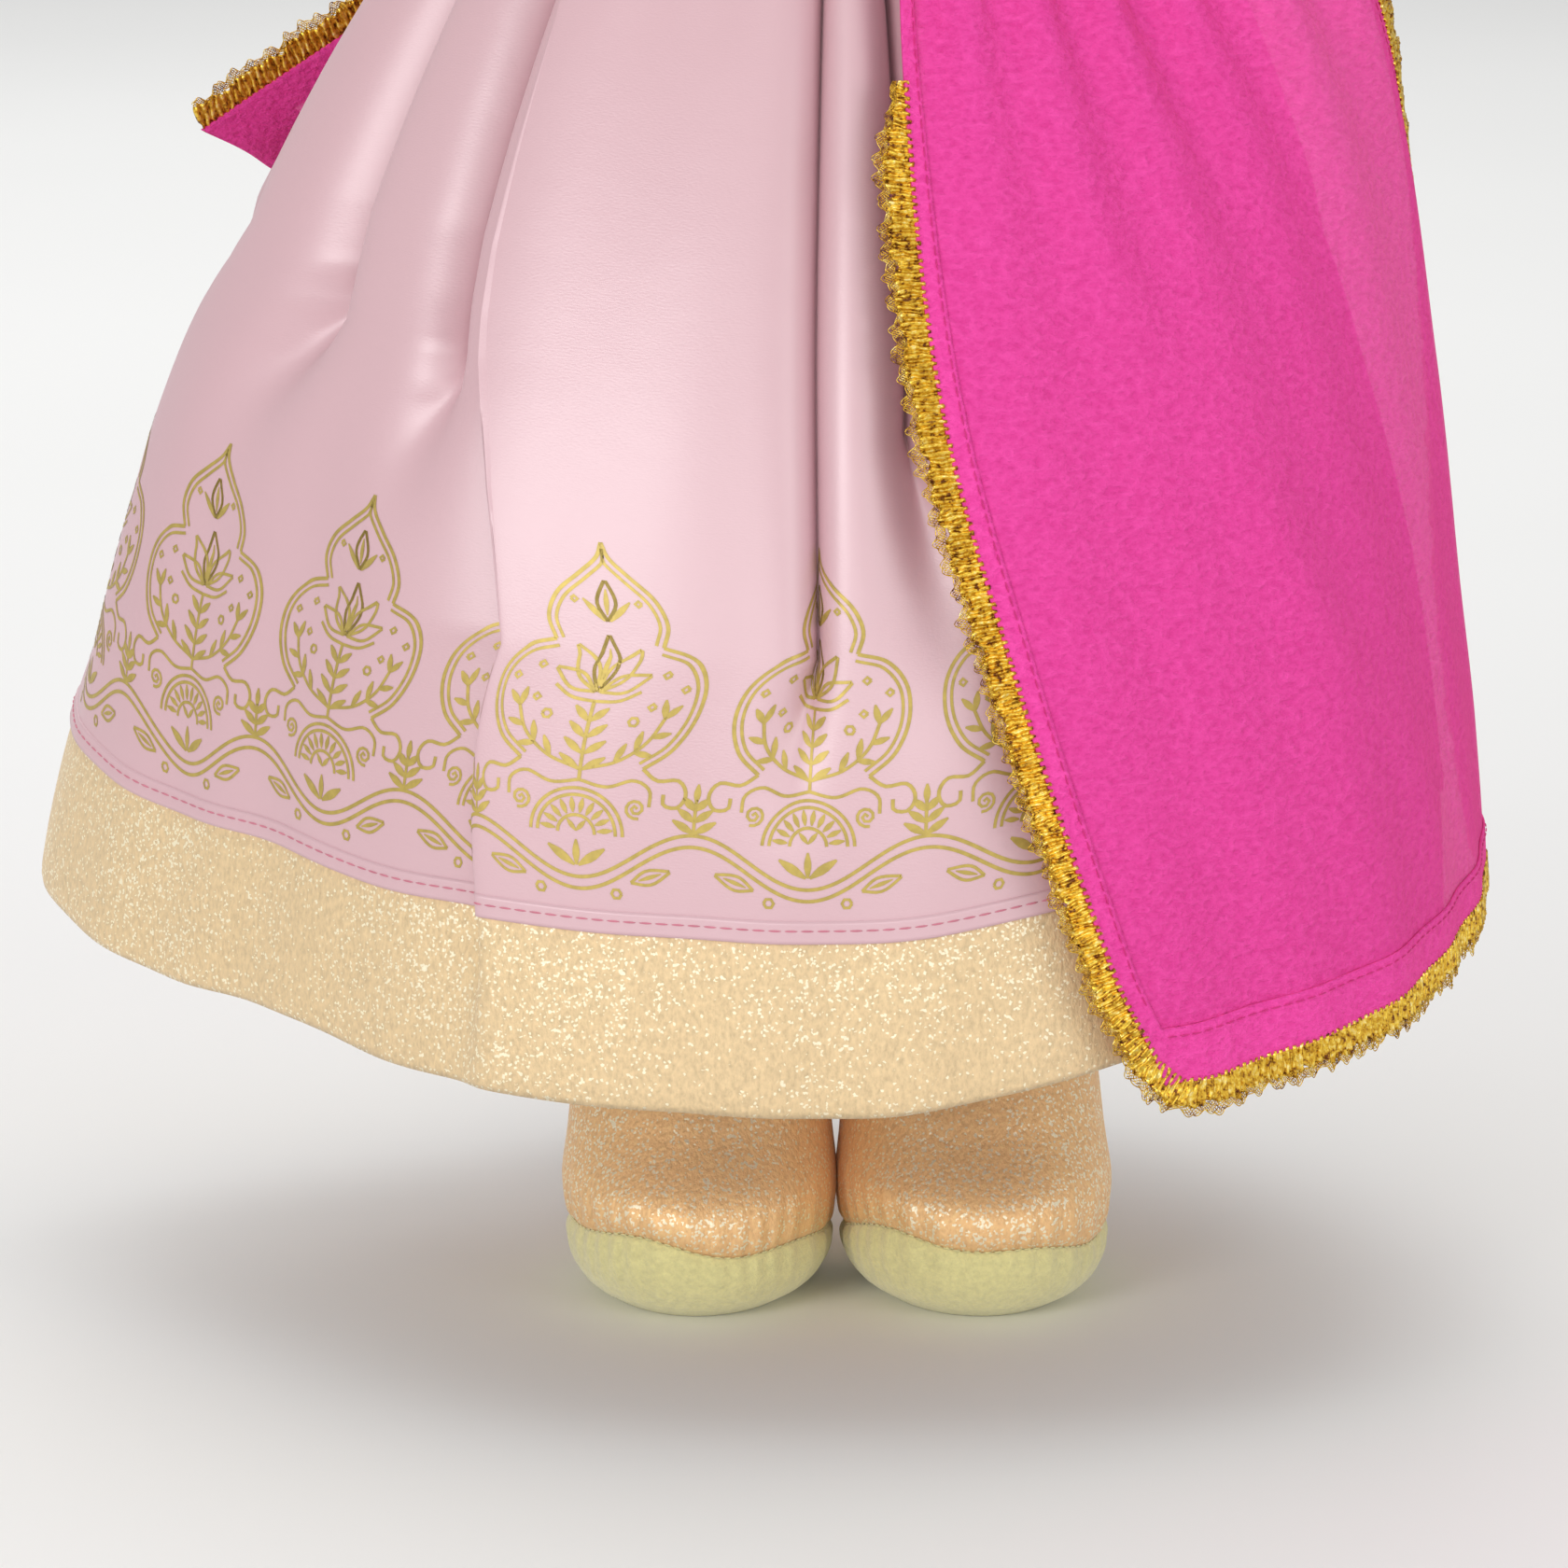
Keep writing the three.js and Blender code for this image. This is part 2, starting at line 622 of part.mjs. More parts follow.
// Back fall: angle and height of its lower edge, then of its upper edge, from the shoulder to the
// wearer's right hip, where its upper corner stands out.
const BACK_FALL = [
  [118, 322, 146, 325],
  [128, 290, 166, 300],
  [140, 255, 186, 278],
  [152, 222, 206, 258],
  [163, 188, 222, 240],
  [174, 152, 238, 220],
  [184, 118, 254, 200],
];

function backFall(t, s) {
  const [lowerAngle, lowerZ, upperAngle, upperZ] = alongTable(BACK_FALL, t);
  return {
    angle: THREE.MathUtils.lerp(lowerAngle, upperAngle, s),
    z: THREE.MathUtils.lerp(lowerZ, upperZ, s),
    off: 3 + 13 * t ** 3 * s ** 2,
  };
}

const LACE_S = 0.055;
add('veil_front', clothSlab(frontFall, 0, 1, 0, 1, 12, 14), 'veil');
add('veil_front_side_lace', clothSlab(frontFall, 0.45, 1, -LACE_S, -0.014, 1, 12), 'lace');
add('veil_front_outer_lace', clothSlab(frontFall, 0.3, 1, 1.018, 1 + LACE_S, 1, 12), 'lace');
add('veil_back', clothSlab(backFall, 0, 1, 0, 1, 9, 12), 'veil');
add('veil_back_upper_lace', clothSlab(backFall, 0.1, 1, 1.02, 1.07, 1, 12), 'lace');

// The lower end's lace continues the front fall past its hem.
function endLace(t, s) {
  const { angle, z, off } = frontFall(1, s);
  return { angle, z: z - 0.5 - 6 * t, off };
}
add('veil_front_end_lace', clothSlab(endLace, 0, 1, 0, 1, 12, 1), 'lace');

// Pleats over the shoulder, held by a brooch.
const PLEATS = [
  [-28.6, 327.5],
  [-25, 334],
  [-17, 339.6],
  [-4, 341.6],
  [9, 340.4],
  [19, 335.5],
  [25, 328.5],
];
const pleatLine = new THREE.CatmullRomCurve3(PLEATS.map(([y, z]) => new THREE.Vector3(28, y, z)));
const pleats = new THREE.BoxGeometry(1, 1, 1, 6, 1, 14);
pleats.translate(0.5, 0.5, 0.5);
const pleatCorner = pleats.attributes.position;
for (let i = 0; i < pleatCorner.count; i++) {
  const t = 1 - pleatCorner.getZ(i);
  const fold = Math.round(6 * pleatCorner.getX(i));
  const tangent = pleatLine.getTangent(t);
  const lift = 2.4 * pleatCorner.getY(i) + 0.7 * (fold % 2) - 0.05 * fold * fold;
  const place = pleatLine.getPoint(t);
  pleatCorner.setXYZ(i, 18.5 + 3.1 * fold, place.y - lift * tangent.z, place.z + lift * tangent.y);
}
add('veil_shoulder_pleats', pleats, 'veil');
add('veil_brooch', turnedOnZ([[0, -1.2], [5, -1.2], [5.6, 0], [4, 1.2], [0, 1.8]], [0, 0, 0])
  .rotateX(radians(48)).translate(28, -28.4, 342.2), 'gold');

export default doll;
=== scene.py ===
import bpy
import math
import numpy as np
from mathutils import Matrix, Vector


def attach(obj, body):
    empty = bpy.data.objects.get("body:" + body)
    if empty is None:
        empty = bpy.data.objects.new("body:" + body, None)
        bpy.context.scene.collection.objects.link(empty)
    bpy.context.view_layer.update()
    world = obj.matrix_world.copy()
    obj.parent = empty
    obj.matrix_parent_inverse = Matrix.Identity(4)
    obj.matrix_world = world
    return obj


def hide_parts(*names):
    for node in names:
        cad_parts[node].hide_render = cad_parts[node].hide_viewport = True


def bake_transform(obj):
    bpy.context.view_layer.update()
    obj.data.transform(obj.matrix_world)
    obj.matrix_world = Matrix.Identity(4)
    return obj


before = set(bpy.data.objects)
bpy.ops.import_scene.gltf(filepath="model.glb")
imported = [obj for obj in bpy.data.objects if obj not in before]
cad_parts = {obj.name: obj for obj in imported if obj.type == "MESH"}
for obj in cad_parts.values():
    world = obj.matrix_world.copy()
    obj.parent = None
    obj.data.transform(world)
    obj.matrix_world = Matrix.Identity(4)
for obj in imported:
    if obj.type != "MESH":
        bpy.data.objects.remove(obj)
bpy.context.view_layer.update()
MM = 0.001


# ---------------------------------------------------------------- small maths
def smooth(x, low, high):
    t = np.clip((np.asarray(x, float) - low) / (high - low), 0, 1)
    return t * t * (3 - 2 * t)


def unit(v):
    return v / np.maximum(np.linalg.norm(v, axis=-1, keepdims=True), 1e-9)


def curve(points, count, closed=False):
    """Catmull-Rom through the points."""
    p = np.asarray(points, float)
    n = len(p)
    if closed:
        q = np.concatenate([p[-1:], p, p[:2]])
        spans = n
    else:
        q = np.concatenate([2 * p[:1] - p[1:2], p, 2 * p[-1:] - p[-2:-1]])
        spans = n - 1
    t = np.linspace(0, spans, count, endpoint=not closed)
    i = np.minimum(t.astype(int), spans - 1)
    f = (t - i)[:, None]
    a, b, c, d = q[i], q[i + 1], q[i + 2], q[i + 3]
    return 0.5 * (2 * b + (c - a) * f + (2 * a - 5 * b + 4 * c - d) * f**2 + (3 * b - a - 3 * c + d) * f**3)


def along(table, t):
    """Smooth values between the rows of a table, t from 0 to 1."""
    rows = np.asarray(table, float)
    fine = curve(rows, 64 * (len(rows) - 1) + 1)
    return points_at(t, np.linspace(0, 1, len(fine)), fine)


def hump(x, at, width):
    return np.exp(-(((x - at) / width) ** 2))


def ring_angles(count):
    return np.linspace(0, 2 * np.pi, count, endpoint=False)


def arc_length(path):
    """Distance along a path at each of its points."""
    return np.concatenate([[0], np.cumsum(np.linalg.norm(np.diff(path, axis=0), axis=1))])


def points_at(s, arc, path):
    """The points of a path that lie at the distances s along it."""
    return np.stack([np.interp(s, arc, path[:, k]) for k in range(path.shape[1])], -1)


def wobble(x, seed):
    """Smooth, repeatable unevenness of about +-1 along x."""
    r = np.random.default_rng(seed)
    total = np.zeros_like(np.asarray(x, float))
    for k in range(3):
        total += np.sin(np.asarray(x) * (1.7**k) + r.uniform(0, 6.28)) / (k + 1)
    return total / 1.6


# ---------------------------------------------------------------- mesh making
class Batch:
    """Collects quads that become one mesh."""

    def __init__(self):
        self.v, self.f, self.n = [], [], 0

    def add(self, verts, faces):
        self.v.append(np.asarray(verts, float).reshape(-1, 3))
        self.f.append(np.asarray(faces, int) + self.n)
        self.n += len(self.v[-1])

    def grid(self, p, wrap_u=False, wrap_v=False, flip=False):
        rows, cols = p.shape[:2]
        i = np.arange(rows if wrap_v else rows - 1)[:, None]
        j = np.arange(cols if wrap_u else cols - 1)[None, :]
        i2, j2 = (i + 1) % rows, (j + 1) % cols
        q = np.stack([i * cols + j, i2 * cols + j, i2 * cols + j2, i * cols + j2], -1).reshape(-1, 4)
        self.add(p.reshape(-1, 3), q[:, ::-1] if flip else q)

    def build(self, name, mat, body=None, uv=None):
        v, f = np.concatenate(self.v), np.concatenate(self.f)
        mesh = bpy.data.meshes.new(name)
        mesh.vertices.add(len(v))
        mesh.vertices.foreach_set("co", (v * MM).astype(np.float32).ravel())
        mesh.loops.add(f.size)
        mesh.loops.foreach_set("vertex_index", f.astype(np.int32).ravel())
        mesh.polygons.add(len(f))
        mesh.polygons.foreach_set("loop_start", np.arange(0, f.size, f.shape[1], dtype=np.int32))
        mesh.polygons.foreach_set("use_smooth", np.full(len(f), True))
        mesh.update(calc_edges=True)
        mesh.validate()
        if uv is not None:
            layer = mesh.uv_layers.new(name="UVMap")
            index = np.zeros(len(mesh.loops), np.int32)
            mesh.loops.foreach_get("vertex_index", index)
            layer.data.foreach_set("uv", uv[index].astype(np.float32).ravel())
        obj = bpy.data.objects.new(name, mesh)
        bpy.context.scene.collection.objects.link(obj)
        mesh.materials.append(mat)
        if body:
            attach(obj, body)
        return obj


def grid_normals(p, wrap_u=False):
    if wrap_u:
        du = np.roll(p, -1, 1) - np.roll(p, 1, 1)
    else:
        du = np.gradient(p, axis=1)
    return unit(np.cross(np.gradient(p, axis=0), du))


def cloth(batch, p, thickness, wrap_u=False, outward=1):
    """A closed thin shell: p is the outer face, the inner face lies a thickness behind it."""
    n = grid_normals(p, wrap_u) * outward
    outer, inner = p, p - n * thickness
    rows = [outer, inner[::-1]]
    if wrap_u:
        batch.grid(np.concatenate(rows), wrap_u=True, wrap_v=True, flip=outward > 0)
        return
    ring = np.concatenate([outer, inner[:, ::-1]], axis=1)
    batch.grid(ring, wrap_u=True, flip=outward > 0)
    count, cols = ring.shape[0], outer.shape[1]
    for row, turn in ((0, False), (count - 1, True)):
        a = np.arange(cols - 1)
        first, last = row * 2 * cols + a, (row + 1) * 2 * cols - 1 - a
        q = np.stack([first, first + 1, last - 1, last], -1)
        q = q[:, ::-1] if turn != (outward > 0) else q
        batch.f.append(q + batch.n - ring.shape[0] * ring.shape[1])


def frames(path, closed=False):
    """Tangents and two normals along a path."""
    t = np.roll(path, -1, 0) - np.roll(path, 1, 0) if closed else np.gradient(path, axis=0)
    t = unit(t)
    up = np.array([0, 0, 1.0])
    side = np.cross(t, up)
    weak = np.linalg.norm(side, axis=1) < 0.15
    side[weak] = np.cross(t[weak], np.array([1.0, 0.03, 0]))
    side = unit(side)
    return t, side, np.cross(side, t)


def tube(batch, path, radius, sides=6, closed=False):
    """A round tube along a path, its open ends closed with flat caps."""
    path = np.asarray(path, float)
    t, side, up = frames(path, closed)
    radius = np.broadcast_to(np.asarray(radius, float), (len(path),))[:, None, None]
    a = ring_angles(sides)[None, :, None]
    ring = path[:, None] + radius * (np.cos(a) * side[:, None] + np.sin(a) * up[:, None])
    batch.grid(ring, wrap_u=True, wrap_v=closed, flip=True)
    if not closed:
        for row, turn in ((0, True), (len(path) - 1, False)):
            for k in range(1, sides // 2):
                q = np.array([[k - 1, k, sides - 1 - k, (sides - k) % sides]]) + row * sides
                batch.f.append((q[:, ::-1] if turn else q) + batch.n - len(path) * sides)


def blob(batch, centre, half, across=14, up=8, turn=None):
    """An ellipsoid made of quads, its poles left as tiny rings."""
    a = ring_angles(across)
    b = np.linspace(-np.pi / 2 + 0.02, np.pi / 2 - 0.02, up)
    x = np.cos(b)[:, None] * np.cos(a)
    y = np.cos(b)[:, None] * np.sin(a)
    z = np.sin(b)[:, None] * np.ones(across)
    p = np.stack([x, y, z], -1) * np.asarray(half, float)
    if turn is not None:
        p = p @ np.asarray(turn).T
    batch.grid(p + np.asarray(centre, float), wrap_u=True)


def look_along(direction):
    """A turn whose third axis is the direction."""
    z = unit(np.asarray(direction, float))
    x = unit(np.cross([0.0, 0.0, 1.0] if abs(z[2]) < 0.9 else [0.0, 1.0, 0.0], z))
    return np.stack([x, np.cross(z, x), z], 1)


# ---------------------------------------------------------------- materials
def shader(name, colour, rough=0.8, metal=0.0, **more):
    mat = bpy.data.materials.new(name)
    mat.use_nodes = True
    bsdf = mat.node_tree.nodes["Principled BSDF"]
    bsdf.inputs["Base Color"].default_value = (*colour, 1)
    bsdf.inputs["Roughness"].default_value = rough
    bsdf.inputs["Metallic"].default_value = metal
    for key, value in more.items():
        bsdf.inputs[key.replace("_", " ")].default_value = value
    return mat, bsdf


def node(mat, kind, **settings):
    n = mat.node_tree.nodes.new(kind)
    for key, value in settings.items():
        if key in n.inputs:
            n.inputs[key].default_value = value
        else:
            setattr(n, key, value)
    return n


def link(mat, a, b):
    mat.node_tree.links.new(a, b)


def coords(mat, scale=(1, 1, 1), use="Object"):
    c = node(mat, "ShaderNodeTexCoord")
    m = node(mat, "ShaderNodeMapping")
    m.inputs["Scale"].default_value = scale
    link(mat, c.outputs[use], m.inputs["Vector"])
    return m.outputs["Vector"]


def noise(mat, vector, scale, detail=2.0, rough=0.5):
    n = node(mat, "ShaderNodeTexNoise", Scale=scale, Detail=detail, Roughness=rough)
    link(mat, vector, n.inputs["Vector"])
    return n.outputs["Fac"]


def ramp(mat, value, stops):
    r = node(mat, "ShaderNodeValToRGB")
    band = r.color_ramp
    while len(band.elements) < len(stops):
        band.elements.new(0.5)
    for element, (place, colour) in zip(band.elements, stops):
        element.position = place
        element.color = (*colour, 1) if len(colour) == 3 else colour
    link(mat, value, r.inputs["Fac"])
    return r.outputs["Color"]


def two_tone(mat, bsdf, value, dark, light):
    """Base colour between two tones, over the middle of a noise."""
    link(mat, ramp(mat, value, [(0.3, dark), (0.7, light)]), bsdf.inputs["Base Color"])


def bump(mat, bsdf, height, strength, distance, previous=None):
    b = node(mat, "ShaderNodeBump", Strength=strength, Distance=distance)
    link(mat, height, b.inputs["Height"])
    if previous is not None:
        link(mat, previous, b.inputs["Normal"])
    link(mat, b.outputs["Normal"], bsdf.inputs["Normal"])
    return b.outputs["Normal"]


def tint(colour, k):
    return tuple(min(1.0, c * k) for c in colour)


SATIN = (0.66, 0.41, 0.45)
GOLD_CLOTH = (0.765, 0.575, 0.33)
# Painted light: the bootees' copy of the gold shimmer cloth is brighter and more copper than GOLD_CLOTH,
# standing in for the toe highlights and the copper shade on the feet.
GOLD_FEET_PAINTED_LIGHT = (0.96, 0.62, 0.30)
MAGENTA = (0.98, 0.055, 0.40)
SKIN = (0.58, 0.28, 0.13)


def make_satin():
    mat, s = shader("satin", SATIN, 0.41, Sheen_Weight=0.15, Sheen_Roughness=0.4, Anisotropic=0.6, IOR=1.65)
    s.inputs["Specular IOR Level"].default_value = 0.95
    weave = coords(mat, (1500, 3600, 1), "UV")
    n = bump(mat, s, noise(mat, weave, 1.0, 1.0), 0.10, 0.0002)
    soft = coords(mat, (9, 9, 9))
    bump(mat, s, noise(mat, soft, 6.0, 3.0), 0.12, 0.0012, n)
    return mat


def make_gold_cloth(name, colour, glint, metal_low):
    """Crepe with metal threads: glint is how many small cells glint, metal_low how metallic the rest is. Those
    cells are more metallic and glossier, and their pale base colour is a painted glint.
    """
    mat, s = shader(name, colour, 0.6, 0.0, Sheen_Weight=0.15)
    at = coords(mat)
    crepe = noise(mat, coords(mat, (1, 1, 0.55)), 1500, 3.0, 0.6)
    cells = node(mat, "ShaderNodeTexVoronoi", Scale=2600.0)
    link(mat, at, cells.inputs["Vector"])
    separate = node(mat, "ShaderNodeSeparateColor")
    link(mat, cells.outputs["Color"], separate.inputs["Color"])
    clusters = node(mat, "ShaderNodeMath", operation="MULTIPLY_ADD")
    link(mat, noise(mat, at, 42, 2.0), clusters.inputs[0])
    clusters.inputs[1].default_value = 0.42
    link(mat, separate.outputs[0], clusters.inputs[2])
    metal_fleck_and_painted_glint = node(mat, "ShaderNodeMath", operation="GREATER_THAN")
    link(mat, clusters.outputs[0], metal_fleck_and_painted_glint.inputs[0])
    metal_fleck_and_painted_glint.inputs[1].default_value = 1.24 - glint
    base = node(mat, "ShaderNodeMix", data_type="RGBA")
    tone = ramp(mat, crepe, [(0.25, tint(colour, 0.80)), (0.5, colour), (0.72, tint(colour, 1.14))])
    link(mat, metal_fleck_and_painted_glint.outputs[0], base.inputs["Factor"])
    link(mat, tone, base.inputs[6])
    # painted glint: the pale base colour of the metal fleck cells
    base.inputs[7].default_value = (1.0, 0.90, 0.66, 1)
    link(mat, base.outputs[2], s.inputs["Base Color"])
    for socket, low, high in (("Metallic", metal_low, 0.6), ("Roughness", 0.58, 0.45)):
        between = node(mat, "ShaderNodeMapRange")
        between.inputs["To Min"].default_value = low
        between.inputs["To Max"].default_value = high
        link(mat, metal_fleck_and_painted_glint.outputs[0], between.inputs["Value"])
        link(mat, between.outputs["Result"], s.inputs[socket])
    bump(mat, s, crepe, 0.55, 0.0004)
    return mat


def make_veil(alpha, name):
    mat, s = shader(name, MAGENTA, 0.72, Sheen_Weight=0.9, Sheen_Roughness=0.55)
    s.inputs["Sheen Tint"].default_value = (1.0, 0.10, 0.34, 1)
    s.inputs["Alpha"].default_value = alpha
    s.inputs["Specular IOR Level"].default_value = 0.25
    pebble = noise(mat, coords(mat, (1, 1, 1.7)), 620, 3.0, 0.6)
    two_tone(mat, s, pebble, tint(MAGENTA, 0.84), (1.0, 0.085, 0.46))
    bump(mat, s, pebble, 0.9, 0.0009)
    return mat


def make_lace():
    mat, s = shader("gold_lace", (0.82, 0.46, 0.05), 0.3, 0.85)
    # Painted light: the noise's darkest stop paints specks of shade in the lace and its palest stop paints
    # glints; the stops between are the gold's own tone.
    tone = ramp(mat, noise(mat, coords(mat), 900, 2.0, 0.7),
                [(0.34, (0.16, 0.05, 0.015)), (0.44, (0.66, 0.36, 0.03)),
                 (0.56, (0.88, 0.60, 0.07)), (0.74, (1.0, 0.86, 0.38))])
    link(mat, tone, s.inputs["Base Color"])
    return mat


def make_felt():
    colour = (0.80, 0.74, 0.34)
    mat, s = shader("pale_felt", colour, 0.95, Sheen_Weight=0.6, Sheen_Roughness=0.6)
    s.inputs["Specular IOR Level"].default_value = 0.1
    fuzz = noise(mat, coords(mat), 900, 4.0, 0.75)
    two_tone(mat, s, fuzz, tint(colour, 0.85), tint(colour, 1.1))
    bump(mat, s, fuzz, 0.5, 0.0008)
    return mat


def make_cotton(name, colour, weave=2200):
    mat, s = shader(name, colour, 0.88, Sheen_Weight=0.25)
    s.inputs["Specular IOR Level"].default_value = 0.2
    n = noise(mat, coords(mat), weave, 2.0)
    two_tone(mat, s, n, tint(colour, 0.9), tint(colour, 1.08))
    bump(mat, s, n, 0.35, 0.0003)
    return mat


def make_yarn():
    colour = (0.022, 0.012, 0.008)
    mat, s = shader("dark_yarn", colour, 0.62, Sheen_Weight=0.3)
    n = noise(mat, coords(mat, (1, 1, 0.4)), 1400, 3.0)
    two_tone(mat, s, n, tint(colour, 0.5), tint(colour, 2.4))
    bump(mat, s, n, 0.5, 0.0005)
    return mat


def make_plain(name, colour, rough, metal=0.0, grain=300, amount=0.08):
    mat, s = shader(name, colour, rough, metal)
    two_tone(mat, s, noise(mat, coords(mat), grain, 2.0), tint(colour, 1 - amount), tint(colour, 1 + amount))
    return mat


satin = make_satin()
gold_cloth = make_gold_cloth("gold_shimmer", GOLD_CLOTH, 0.12, 0.25)
# Painted light: the same gold shimmer cloth again for the bootees, with more painted glints and more metal, for
# lit toes and shaded copper tops.
gold_feet_painted_light = make_gold_cloth("gold_shimmer_feet_painted_light", GOLD_FEET_PAINTED_LIGHT, 0.20, 0.5)
veil_sheer = make_veil(0.80, "veil_gauze")
veil_thick = make_veil(0.93, "veil_gauze_doubled")
lace_gold = make_lace()
felt = make_felt()
skin = make_cotton("skin_cloth", SKIN)
yarn = make_yarn()
print_gold = make_plain("gold_foil_print", (0.50, 0.37, 0.09), 0.42, 0.35, 700, 0.12)
gilt = make_plain("gilt_metal", (0.83, 0.52, 0.12), 0.24, 1.0)
pink_thread = make_plain("pink_thread", (0.62, 0.20, 0.27), 0.6)
dark_thread = make_plain("dark_thread", (0.03, 0.012, 0.01), 0.5)
red_thread = make_plain("red_thread", (0.50, 0.03, 0.06), 0.55)
white_thread = make_plain("white_thread", (0.85, 0.84, 0.8), 0.6)
petal = make_cotton("petal_cloth", (0.86, 0.82, 0.70), 1500)
plastic = make_plain("joint_plastic", (0.8, 0.78, 0.7), 0.5)
wood = make_plain("dowel_wood", (0.58, 0.37, 0.15), 0.7, 0.0, 120, 0.2)

# ---------------------------------------------------------------- the skirt's surface
WAIST_Z = 269.6
SKIRT_LENGTH = 226.0
HEM_BAND = 31.0
WAIST = (36.0, 27.0)
HEM = (99.5, 95.0)
# Swells of the hem: angle, width in degrees, depth in mm, and the part of the depth at the waist.
BASE_FOLDS = ((-98, 24, 33.5, 0.08), (-38, 12, 3, 0.6), (0, 14, -2, 0.6), (62, 18, 3, 0.6),
              (112, 16, -4, 0.6), (140, 15, 3, 0.6), (172, 14, -4, 0.6), (-158, 14, 1, 0.6),
              (-136, 12, -4, 0.6))
MOTIF = 36.7
MOTIFS = 20
CLOTH_WIDTH = MOTIF * MOTIFS
SATIN_SHARE = 1 - HEM_BAND / SKIRT_LENGTH


def turn_gap(a, b):
    return (a - b + 180) % 360 - 180


def oval(side, front, deg):
    a = np.radians(deg)
    return 1 / np.hypot(np.sin(a) / side, np.cos(a) / front)


ANGLES = np.linspace(-180, 180, 721)
HEM_DROP = 3.0  # the sewn hem hangs this far below the band's own edge
SHARES = np.linspace(0, 1.02, 103)


def base_table():
    """Radius and height of the skirt without its folds, one row a share of its length."""
    angle, share = ANGLES[None, :], SHARES[:, None]
    spare = np.maximum(1 - share, 0)
    flare = 1 - spare ** 1.75
    low, high = oval(*WAIST, angle), oval(*HEM, angle)
    fold = sum(depth * np.exp(-((turn_gap(angle, at) / width) ** 2)) * (top + (1 - top) * share)
               for at, width, depth, top in BASE_FOLDS)
    r = low + (high - low) * flare + fold * (1 - spare**6)
    lift = 8 * smooth(np.minimum(angle, 90), 0, 42) * (1 - smooth(angle, 90, 180))
    lift = lift + 4 * np.exp(-(((angle + 62) / 14) ** 2))
    step = (SKIRT_LENGTH - lift) * (SHARES[1] - SHARES[0])
    drop = np.sqrt(np.maximum(step**2 - np.diff(r, axis=0) ** 2, (0.3 * step) ** 2))
    z = WAIST_Z - np.concatenate([np.zeros((1, len(ANGLES))), np.cumsum(drop, 0)])
    return r, z


R_TABLE, Z_TABLE = base_table()
R_STEP, Z_STEP = np.gradient(R_TABLE, axis=0), np.gradient(Z_TABLE, axis=0)


def lookup(table, angle, share):
    x = (np.asarray(angle) + 180) % 360 / 360 * (len(ANGLES) - 1)
    y = np.clip(share / SHARES[-1], 0, 1) * (len(SHARES) - 1)
    i, j = np.minimum(y.astype(int), len(SHARES) - 2), np.minimum(x.astype(int), len(ANGLES) - 2)
    fy, fx = y - i, x - j
    return ((table[i, j] * (1 - fx) + table[i, j + 1] * fx) * (1 - fy)
            + (table[i + 1, j] * (1 - fx) + table[i + 1, j + 1] * fx) * fy)


def ring_arc(row):
    a = np.radians(ANGLES)
    xy = np.stack([R_TABLE[row] * np.sin(a), -R_TABLE[row] * np.cos(a)], -1)
    return arc_length(xy)


HEM_ARC = ring_arc(100)
GIRTH = np.array([ring_arc(i)[-1] for i in range(len(SHARES))])
ZERO_ARC = np.interp(0, ANGLES, HEM_ARC)

# Folds: angle round the body, width in mm of cloth, share of the spare cloth each takes up,
# the shares of the length between which it dies out, and how far it laps over its neighbour.
FOLDS = (
    (-34.0, 7.0, 0.145, 0.88, 1.12, 1),
    (-52.0, 5.0, 0.085, 0.36, 0.68, 0),
    (-78.0, 7.5, 0.090, 0.38, 0.66, 0),
    (-102.0, 8.0, 0.060, 0.62, 1.02, 0),
    (-121.0, 8.0, 0.085, 0.70, 1.10, 0),
    (-143.0, 8.0, 0.070, 0.60, 1.05, 0),
    (-163.0, 8.0, 0.085, 0.70, 1.10, 0),
    (177.0, 8.0, 0.070, 0.60, 1.00, 0),
    (156.0, 8.0, 0.085, 0.75, 1.15, 0),
    (133.0, 8.0, 0.070, 0.62, 1.00, 0),
    (110.0, 8.0, 0.075, 0.70, 1.10, 0),
    (88.0, 8.0, 0.060, 0.62, 1.05, 0),
    (66.0, 8.0, 0.060, 0.60, 1.00, 0),
    (44.0, 8.0, 0.060, 0.62, 1.05, 0),
    (24.0, 7.0, 0.045, 0.60, 1.00, 0),
    (10.0, 5.5, 0.080, 0.40, 0.80, 0),
    (-2.5, 3.9, 0.180, 0.42, 0.86, 0),
)
BELL_AREA = math.sqrt(2 * math.pi)  # area under a bell of unit height and width


def fold_taken(fold, share):
    """Millimetres of cloth that a fold takes up at each share of the length."""
    _, width, part, low, high, laps = fold
    spare = CLOTH_WIDTH - np.interp(share, SHARES, GIRTH)
    most = (2.1 if laps else 0.96) * BELL_AREA * width
    live = smooth(share, 0.0, 0.2) * (1 - smooth(share, low, high))
    return np.minimum(part * 1.25 * spare * live, most)


def fold_places():
    """Where each fold's middle is in the cloth, in mm from the front centre line."""
    reach = 0.62
    taken = [float(fold_taken(f, np.array(reach))) for f in FOLDS]
    arc = [float(np.interp(f[0], ANGLES, HEM_ARC) - ZERO_ARC) for f in FOLDS]
    scale = (CLOTH_WIDTH - sum(taken)) / HEM_ARC[-1]
    places = []
    for k, a in enumerate(arc):
        between = sum(t for j, t in enumerate(taken) if j != k and 0 < arc[j] / (a or 1) < 1)
        places.append(a * scale + math.copysign(between + taken[k] / 2, a))
    return places


FOLD_AT = fold_places()


def erf(x):
    """The error function, by the usual five-term fit."""
    t = 1 / (1 + 0.3275911 * np.abs(x))
    poly = (((1.061405429 * t - 1.453152027) * t + 1.421413741) * t - 0.284496736) * t + 0.254829592
    return np.sign(x) * (1 - poly * t * np.exp(-x * x))


def cloth_gap(u, at):
    return (u - at + CLOTH_WIDTH / 2) % CLOTH_WIDTH - CLOTH_WIDTH / 2


